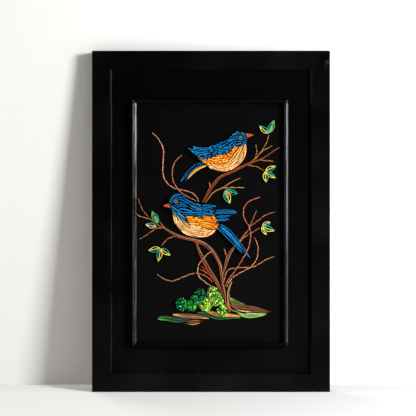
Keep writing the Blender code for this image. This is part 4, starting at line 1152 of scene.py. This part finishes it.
ground = {
    "ground_tan": {
        "body": dye(64, 50, 38),
        "route": [(-55.7, -136, 1.6), (-48.3, -136.4, 3.6), (-40.4, -137.4, 5.6), (-29, -137.9, 6.2),
                  (-17.6, -138.7, 5.6), (-9.7, -139.9, 3.6), (-1.7, -141.8, 1)],
        "strands": [(dye(240, 168, 80), dye(120, 98, 82)), (dye(190, 130, 88), dye(214, 140, 88))]},
    "ground_green": {
        "body": dye(12, 30, 18),
        "route": [(-78.2, -142.3, 1), (-74.5, -141, 5.2), (-63.1, -141.4, 7.2), (-51.7, -143.2, 8),
                  (-40.4, -143.9, 5.6), (-29, -143.2, 1.2)],
        "strands": [(dye(44, 106, 48), dye(30, 52, 38)), (dye(54, 136, 52), dye(56, 78, 64)),
                    (dye(34, 96, 40), dye(26, 46, 34)), (dye(92, 206, 76), dye(48, 80, 56))]},
    "ground_brown": {
        "body": dye(4, 3, 3), "gap": 0.66,
        "route": [(-42, -149.2, 1), (-36, -148.2, 4), (-29.5, -147.8, 7.2), (-24, -147.4, 8.2),
                  (-17.6, -146.6, 6.2), (-9.2, -145.4, 1.4)],
        "strands": [(dye(92, 60, 44), dye(150, 98, 64)), (dye(84, 52, 38), dye(128, 80, 52)),
                    (dye(150, 92, 56), dye(206, 130, 78))]},
    "ground_orange": {
        "body": dye(120, 56, 24),
        "route": [(-5.6, -131.8, 1), (-1.7, -132.2, 2.8), (5.1, -133.7, 4.8), (11.9, -136.2, 4.2),
                  (22.1, -137.2, 3.2), (30.1, -136.8, 4.2), (38.4, -137.5, 2.8), (44.9, -138.6, 1)],
        "strands": [(dye(186, 116, 66), dye(238, 168, 102)), (dye(214, 108, 40), dye(232, 146, 80))]},
    "ground_dark_green": {
        "body": dye(14, 56, 32),
        "route": [(-19.4, -132.6, 1.2), (-10.8, -133.8, 3.4), (-1.7, -136.6, 4.6), (5.1, -139.2, 4.6),
                  (11.9, -140.8, 4), (22.1, -140.9, 3.6), (33.5, -140.4, 2.6), (44.9, -140.8, 1)],
        "strands": [(dye(40, 118, 70), dye(60, 124, 76))]},
    "ground_light_green": {
        "body": dye(40, 84, 24),
        "route": [(33.4, -127.9, 1), (38.2, -131, 1.6), (43.2, -134.2, 2.6), (49, -136.8, 4.6),
                  (57.3, -137.7, 6.2), (67.6, -137, 6), (76, -136, 4), (83.4, -134.8, 1)],
        "strands": [(dye(104, 164, 60), dye(172, 198, 140)), (dye(66, 122, 40), dye(112, 172, 66)),
                    (dye(124, 188, 68), dye(158, 214, 84))],
        "extra": [([(53, -134, 0.9), (59, -134.2, 2.0), (66, -134.4, 1.8), (72, -134.6, 0.9)],
                   dye(176, 176, 168))]},
    "ground_root": {
        "body": dye(16, 9, 7),
        "route": [(30.6, -120.4, 3), (35, -122.6, 5.4), (45, -125.6, 8.4), (54, -127, 9.4), (63, -127.7, 8),
                  (73, -129.4, 6.4), (81, -131, 4.2), (89, -132, 1.2)],
        "strands": [(dye(138, 98, 72), dye(130, 84, 60)), (dye(60, 38, 28), dye(52, 34, 26)),
                    (dye(160, 106, 74), dye(138, 86, 58)), (dye(58, 36, 26), dye(56, 34, 26)),
                    (dye(150, 98, 68), dye(126, 78, 52))],
        # strands that run down from the trunk's foot into the root
        "extra": [
            ([(28.2, -106, 1.2), (29.2, -113, 2.2), (33.4, -119.4, 2.4), (41, -123, 2.2), (50, -125, 1.2)],
             dye(150, 100, 68)),
            ([(25.8, -108, 1.2), (27.6, -117, 2.2), (31.6, -123.4, 2.4), (38.6, -126.8, 2.2),
              (47, -128, 1.2)],
             dye(96, 58, 40)),
            ([(24.4, -113, 1.2), (26.2, -121.4, 2.2), (29.6, -127, 2.4), (35, -130.8, 2.0), (42, -132.4, 1)],
             dye(176, 100, 58)),
            ([(38, -128.8, 1.0), (45, -130.2, 2.6), (54, -131.2, 3.0), (61, -131.6, 1.6)], dye(226, 150, 98)),
        ]},
    "ground_upper_green": {
        "body": dye(44, 70, 18),
        "route": [(28.6, -111.4, 2), (31, -113.4, 4.4), (34.6, -115.8, 5.6), (38.6, -117.4, 5.4),
                  (45, -119.4, 3), (52, -120.8, 1)],
        "strands": [(dye(140, 172, 88), dye(92, 124, 62)), (dye(120, 166, 58), dye(84, 120, 48))]},
}
for node, band in ground.items():
    stock, rng = newStock(), random.Random(sum(map(ord, pieceName(node))))
    route = routeOf(band["route"], bandWork["step"])
    width, count = route["width"], len(band["strands"])
    # painted shade: the body is painted darker than the loops
    tube(stock, route, width * 0, width * 0 + glue, width * 0.42, band["body"],
         2 * bandWork["body"] / max(width), 8)
    for number, tints in enumerate(band["strands"]):
        upper, lower = 1 - 2 * number / count, 1 - 2 * (number + 1) / count
        top = glue + bandWork["high"] - rng.uniform(0, bandWork["uneven"])
        laneLoop(stock, route, lower, upper, top, tints, rng.uniform(0, 50), band.get("gap", bandWork["gap"]))
    for points, tint in band.get("extra", ()):
        bundle(stock, points, [tint], rng, 1.1, 1.2, 0.42)
    makePiece(node, stock, quillPaper)
print("stage: ground done")


# Frame, rim and boards

def heightToneGroup():
    # one colour above the height and another below it, and black outside the limits and over the unlit
    # stretch
    group, given = newGroup("heightTone", {
        "Upper Colour": (0, 0, 0, 1), "Lower Colour": (0, 0, 0, 1), "Height": 0.0, "Span": 0.1,
        "Unlit Low": 0.0, "Unlit High": 0.0, "Lowest": -1.0, "Highest": 1.0, "From": -1.0, "Front": 1.0})
    spots = splitSpots(group, objectSpots(group))
    rise = mathNode(group, "SUBTRACT", spots["Z"], given["Height"])
    share = mathNode(group, "ADD", mathNode(group, "DIVIDE", rise, given["Span"]), 0.5, clamp=True)
    tone = mixColour(group, share, given["Lower Colour"], given["Upper Colour"])

    def both(first, second):
        return mathNode(group, "MULTIPLY", first, second)

    def past(axis, label):
        return mathNode(group, "GREATER_THAN", spots[axis], given[label])

    def before(axis, label):
        return mathNode(group, "LESS_THAN", spots[axis], given[label])
    inside = both(both(both(past("Z", "Lowest"), before("Z", "Highest")), past("X", "From")),
                  before("Y", "Front"))
    covered = mathNode(group, "SUBTRACT", 1.0, both(past("Z", "Unlit Low"), before("Z", "Unlit High")))
    return finishGroup(group,
                       {"Colour": mixColour(group, both(inside, covered), (0.001, 0.001, 0.001, 1), tone)})


heightTone = heightToneGroup()


def toneByHeight(material, upper, lower, height, span, limits=None):
    # one colour above and another below, with a soft change over the span
    tree = material.node_tree
    tone = addNode(tree, "Group", node_tree=heightTone)
    setInputs(tree, tone, {"Upper Colour": (*upper, 1), "Lower Colour": (*lower, 1), "Span": span * mm,
                           "Height": picture["z"] + height * mm, **(limits or {})})
    setInputs(tree, tree.nodes["paintWearAndLight"], {"Colour": tone.outputs["Colour"]})


black = (0.0005, 0.0005, 0.0007)
railPaint = {"colour": black, "worn": (0.05, 0.05, 0.055), "gloss": 0.36, "edgeWearAndHighlight": 0.15, "dust": 0.2,
             "smudge": 1.5, "specular": 0.05}
# the first colour and its line are a painted reflection of the pale table on the lower rails; the dust specks
# are real; the lip values give a painted highlight along the lip
railWearAndLight = {"dusty": (0.0021, 0.0021, 0.0025), "reflectionLine": (-190.0, 150.0), "thinDust": 0.05,
            "thickDust": 0.16, "lipHighlight": (0.24, 0.24, 0.26), "lipHighlightStrength": 3.0, "lipReach": 0.0012,
            "lipStretch": 0.1486}
upright, level = (1.0, 1.0, 0.06), (0.06, 1.0, 1.0)      # how the grain is drawn out along a rail


def paintLipHighlight(material, axis, lip, before):
    # painted highlight: the rounded edges over the last millimetre before the opening take a light grey,
    # where the lip catches the light
    tree = material.node_tree
    spots = splitSpots(tree, objectSpots(tree))
    near = mathNode(tree, "MULTIPLY", mathNode(tree, "GREATER_THAN", spots[axis], lip - railWearAndLight["lipReach"]),
                    mathNode(tree, "LESS_THAN", spots["X"], before))
    setInputs(tree, tree.nodes["paintWearAndLight"],
              {"Edge Wear And Highlight": mathNode(tree, "MULTIPLY", near, railWearAndLight["lipHighlightStrength"])})


# small knocks that left the paint grey: place in the picture, radius and colour
knocks = [(173.5, 237.5, 4.2, (0.016, 0.018, 0.025)), (171.5, 231.0, 2.8, (0.012, 0.0115, 0.011))]


def scuff(material, node):
    tree = material.node_tree
    effect, spots = tree.nodes["paintWearAndLight"], objectSpots(tree)
    rough = noiseNode(tree, {"Vector": spots, "Scale": 420.0, "Detail": 3.0})
    colour = effect.inputs["Colour"].links[0].from_socket
    for x, z, radius, grey in knocks:
        middle = (picture["x"] + x * mm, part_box(node)[0].y, picture["z"] + z * mm)
        gap = vectorNode(tree, "DISTANCE", {0: spots, 1: middle})["Value"]
        ragged = mathNode(tree, "ADD", gap, spread(tree, rough, 0.3, 0.7, -0.002, 0.002))
        colour = mixColour(tree, spread(tree, ragged, radius * mm, radius * mm / 2), colour, (*grey, 1))
    setInputs(tree, effect, {"Colour": colour})


# the light grey of the painted highlight along the lips of the left and bottom rails
lipHighlightPaint = {**railPaint, "worn": railWearAndLight["lipHighlight"]}
railPaints = {
    "right": paintFinish("blackSatinRight", {**railPaint, "stretch": upright}),
    "left": paintFinish("blackSatinLeft", {**lipHighlightPaint, "stretch": upright, "dust": railWearAndLight["thinDust"]}),
    "top": paintFinish("blackSatinLevel", {**railPaint, "stretch": level}),
    # painted reflection: the bottom rail is painted in the lighter grey of the reflected table, and its
    # specks are real dust
    "bottom": paintFinish("blackSatinDustAndReflection", {**lipHighlightPaint, "stretch": level, "colour": railWearAndLight["dusty"],
                                              "dust": railWearAndLight["thickDust"]}),
}
paintLipHighlight(railPaints["left"], "X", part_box("rail_left")[1].x, 0.0)
paintLipHighlight(railPaints["bottom"], "Z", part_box("rail_bottom")[1].z, picture["x"] - railWearAndLight["lipStretch"])
# painted reflection: the upright rails are painted lighter below the line, where the pale table below is
# reflected
for side in ("left", "right"):
    toneByHeight(railPaints[side], black, railWearAndLight["dusty"], *railWearAndLight["reflectionLine"])
scuff(railPaints["right"], "rail_right")
for side, material in railPaints.items():
    dress("rail_" + side, material)
    softened = frame["nodes"]["rail_" + side].modifiers.new("softEdge", "BEVEL")
    softened.width, softened.segments, softened.limit_method = 0.0004, 2, "ANGLE"

matCard = {"colour": (0.0007, 0.0007, 0.0008), "worn": (0.03, 0.03, 0.03), "gloss": 0.6, "edgeWearAndHighlight": 0.1,
           "dust": 0.25, "specular": 0.02, "bump": 0.4, "smudge": 1.0}
panelCard = {"colour": (0.0014, 0.0014, 0.0014), "worn": (0.03, 0.03, 0.03), "gloss": 0.62, "edgeWearAndHighlight": 0.1,
             "dust": 0.1, "specular": 0.025, "bump": 0.4}
hardboard = {"colour": (0.24, 0.145, 0.08), "worn": (0.36, 0.25, 0.16), "gloss": 0.75, "edgeWearAndHighlight": 0.3,
             "dust": 0.5, "specular": 0.3, "bump": 0.8}
boards = {"mat_board": paintFinish("blackMatCard", matCard),
          "art_panel": paintFinish("blackPanelCard", panelCard),
          "backing_board": paintFinish("brownHardboard", hardboard)}
# painted reflection: the mat and the panel are painted lighter towards the bottom, where the pale table below
# is reflected
toneByHeight(boards["mat_board"], (0.0002, 0.0002, 0.0002), (0.0017, 0.0017, 0.0019), -60.0, 330.0)
toneByHeight(boards["art_panel"], (0.0007, 0.0007, 0.0007), (0.0016, 0.0016, 0.0016), 30.0, 260.0)
for node, material in boards.items():
    dress(node, material)

# Painted highlight: the upright strips of the rim, which catch the light from the side, are painted grey,
# lighter above than below, and the left one has a black stretch where the painted highlight is left out.
# Heights are in picture millimetres.
highlightAndWear = {
    "left": {"upper": (0.078, 0.078, 0.086), "lower": (0.015, 0.015, 0.018), "height": 70.0, "span": 90.0,
             "bare": (9.0, 35.5), "edgeWearAndHighlight": 0.5, "mottle": 0.95, "specular": 0.22, "width": 6.0},
    "right": {"upper": (0.078, 0.078, 0.092), "lower": (0.018, 0.018, 0.023), "height": 20.0, "span": 260.0,
              "bare": (0.0, 0.0), "edgeWearAndHighlight": 0.1, "mottle": 0.4, "specular": 0.1, "width": 3.2},
}
highlightEnds, highlightFront = (-175.5, 176.5), 23.4


def rimHighlightPaint(side):
    look = highlightAndWear[side]
    material = paintFinish("rubbedRim" + side.capitalize(), {
        **look, "colour": look["upper"], "worn": (0.2, 0.2, 0.22), "stretch": (2.0, 2.0, 0.1), "gloss": 0.3,
        "dust": 0.3})
    levels = zip(("Unlit Low", "Unlit High", "Lowest", "Highest"), (*look["bare"], *highlightEnds))
    # the painted highlight covers the width that is given, measured from the strip's edge on the right, the
    # side that faces the light
    toneByHeight(material, look["upper"], look["lower"], look["height"], look["span"], {
        **{label: picture["z"] + level * mm for label, level in levels},
        "From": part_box("rim_" + side)[1].x - look["width"] * mm, "Front": -highlightFront * mm})
    return material


rimBlack = paintFinish("blackRimLevel", {
    "colour": (0.0005, 0.0005, 0.0006), "worn": (0.03, 0.03, 0.032), "stretch": (0.05, 1.0, 1.0),
    "gloss": 0.6, "edgeWearAndHighlight": 0.1, "dust": 0.1, "specular": 0.03})
rimPaints = {"top": rimBlack, "bottom": rimBlack, "left": rimHighlightPaint("left"), "right": rimHighlightPaint("right")}

# The rim's strips have rounded shoulders, which carry the light along each side of the picture.
rim = {"width": 6.0, "foot": 14.3, "front": 26.0, "shoulder": 2.5, "steps": 7, "mitreGap": 0.3}


def rimProfile():
    width, front, shoulder = rim["width"], rim["front"], rim["shoulder"]
    bends = [(math.sin(a), math.cos(a))
             for a in (math.pi / 2 * k / rim["steps"] for k in range(rim["steps"] + 1))]
    return [(0.0, rim["foot"]),
            *((shoulder * (1 - cos), front - shoulder * (1 - sin)) for sin, cos in bends),
            *((width - shoulder * (1 - sin), front - shoulder * (1 - cos)) for sin, cos in bends),
            (width, rim["foot"])]


def makeRim(side):
    left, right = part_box("rim_left")[0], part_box("rim_right")[1]
    under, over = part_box("rim_bottom")[0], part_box("rim_top")[1]
    middleX, middleZ = (left.x + right.x) / 2, (under.z + over.z) / 2
    halfWide, halfTall = (right.x - left.x) / 2, (over.z - under.z) / 2
    stock, profile = newStock(), rimProfile()
    mitre = rim["mitreGap"] * mm / math.sqrt(2)
    for end in (-1, 1):
        for inward, depth in profile:
            tall, wide = halfTall - inward * mm, halfWide - inward * mm
            if side in ("left", "right"):
                stock["points"].append((middleX + (wide if side == "right" else -wide), -depth * mm,
                                        middleZ + end * (tall - mitre)))
            else:
                stock["points"].append((middleX + end * (wide - mitre), -depth * mm,
                                        middleZ + (tall if side == "top" else -tall)))
    count = len(profile)
    for k in range(count):
        following = (k + 1) % count
        stock["faces"].append((k, following, count + following, count + k))
    stock["faces"] += [tuple(range(count))[::-1], tuple(range(count, 2 * count))]
    makePiece("rim_" + side, stock, rimPaints[side], smoothAngle=30)


for side in rimPaints:
    makeRim(side)
print("stage: frame done")


# Studio: a pale floor, a pale board behind that is seen from the front only, and soft light from the right

studio = {
    "floorColour": (0.86, 0.86, 0.86), "boardColour": (0.64, 0.635, 0.63), "lean": math.radians(6),
    "reach": 1.6, "floorLeft": -1.34, "boardTop": 1.3, "worldSeen": 0.85, "worldLight": 0.14,
    # power, size, place, height where it isn't square, and colour
    "lights": {
        "keyLight": (78.0, 0.5, (1.55, -1.28, 0.22), None, (1, 1, 1)),
        "rightStrip": (9.0, 0.35, (1.35, -0.22, -0.1), 1.2, (1, 1, 1)),
        "leftStrip": (10.5, 0.35, (-1.35, -0.25, -0.1), 1.2, (1.0, 0.92, 0.78)),
        "backLight": (14.0, 0.9, (-1.1, 1.5, 0.6), None, (1, 1, 1)),
    },
}


def stageMaterial(name, colour):
    material = bpy.data.materials.new(name)
    material.use_nodes = True
    tree = material.node_tree
    setInputs(tree, tree.nodes["Principled BSDF"], {
        "Base Color": (*colour, 1), "Roughness": 0.9, "Specular IOR Level": 0.1})
    return material


def showFrontOnly(material):
    tree = material.node_tree
    back = addNode(tree, "NewGeometry").outputs["Backfacing"]
    seen = addNode(tree, "LightPath").outputs["Is Camera Ray"]
    shown = mathNode(tree, "MULTIPLY", seen, mathNode(tree, "SUBTRACT", 1.0, back))
    mixed = addNode(tree, "MixShader", {0: shown, 1: addNode(tree, "BsdfTransparent").outputs[0],
                                        2: tree.nodes["Principled BSDF"].outputs[0]})
    setInputs(tree, tree.nodes["Material Output"], {"Surface": mixed.outputs[0]})
    return material


def addPlane(name, left, right, front, back, material):
    # front and back are the depth and the height of the plane's near and far edge
    mesh = bpy.data.meshes.new(name)
    mesh.from_pydata([(left, *front), (right, *front), (right, *back), (left, *back)], [], [(0, 1, 2, 3)])
    mesh.materials.append(material)
    addObject(name, mesh)


foot, head = cadBox[0].z - 0.0002, cadBox[1].z
reach, slope = studio["reach"], math.tan(studio["lean"])
footBack = 0.0006 + (head - foot) * slope
topBack = footBack - (studio["boardTop"] - foot) * slope
addPlane("floor", studio["floorLeft"], reach, (-reach, foot), (reach, foot),
         stageMaterial("paleFloor", studio["floorColour"]))
addPlane("board", -reach, reach, (footBack, foot), (topBack, studio["boardTop"]),
         showFrontOnly(stageMaterial("paleBoard", studio["boardColour"])))

aim = Vector((0, 0, (foot + head) / 2))
for name, (power, size, at, tall, colour) in studio["lights"].items():
    data = bpy.data.lights.new(name, "AREA")
    data.energy, data.size, data.color = power, size, colour
    if tall:
        data.shape, data.size_y = "RECTANGLE", tall
    light = addObject(name, data)
    light.location = at
    light.rotation_euler = (aim - Vector(at)).to_track_quat("-Z", "Y").to_euler()

world = bpy.data.worlds.new("paleRoom")
bpy.context.scene.world = world
world.use_nodes = True
sky = world.node_tree
white = (1, 1, 1, 1)
paleSky = sky.nodes["Background"]
setInputs(sky, paleSky, {"Color": white, "Strength": studio["worldLight"]})
seenSky = addNode(sky, "Background", {"Color": white, "Strength": studio["worldSeen"]})
seen = addNode(sky, "LightPath").outputs["Is Camera Ray"]
swap = addNode(sky, "MixShader", {0: seen, 1: paleSky.outputs[0], 2: seenSky.outputs[0]})
setInputs(sky, sky.nodes["World Output"], {"Surface": swap.outputs[0]})

# The camera looks square on, and the frame sits a little low and right in the picture, as in the photo.
shot = {"distance": 1.70, "pixel": 0.001482, "across": 416, "right": 3.0, "down": 13.4, "sensor": 36.0}
cameraData = bpy.data.cameras.new("camera")
cameraData.sensor_width = shot["sensor"]
cameraData.lens = shot["sensor"] * shot["distance"] / (shot["across"] * shot["pixel"])
camera = addObject("camera", cameraData)
railFront = -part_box("rail_top")[0].y
camera.location = (-shot["right"] * shot["pixel"], -railFront - shot["distance"],
                   (foot + head) / 2 + shot["down"] * shot["pixel"])
camera.rotation_euler = (math.radians(90), 0, 0)
bpy.context.scene.camera = camera
bpy.context.scene.view_settings.view_transform = "Standard"
print("stage: studio done")
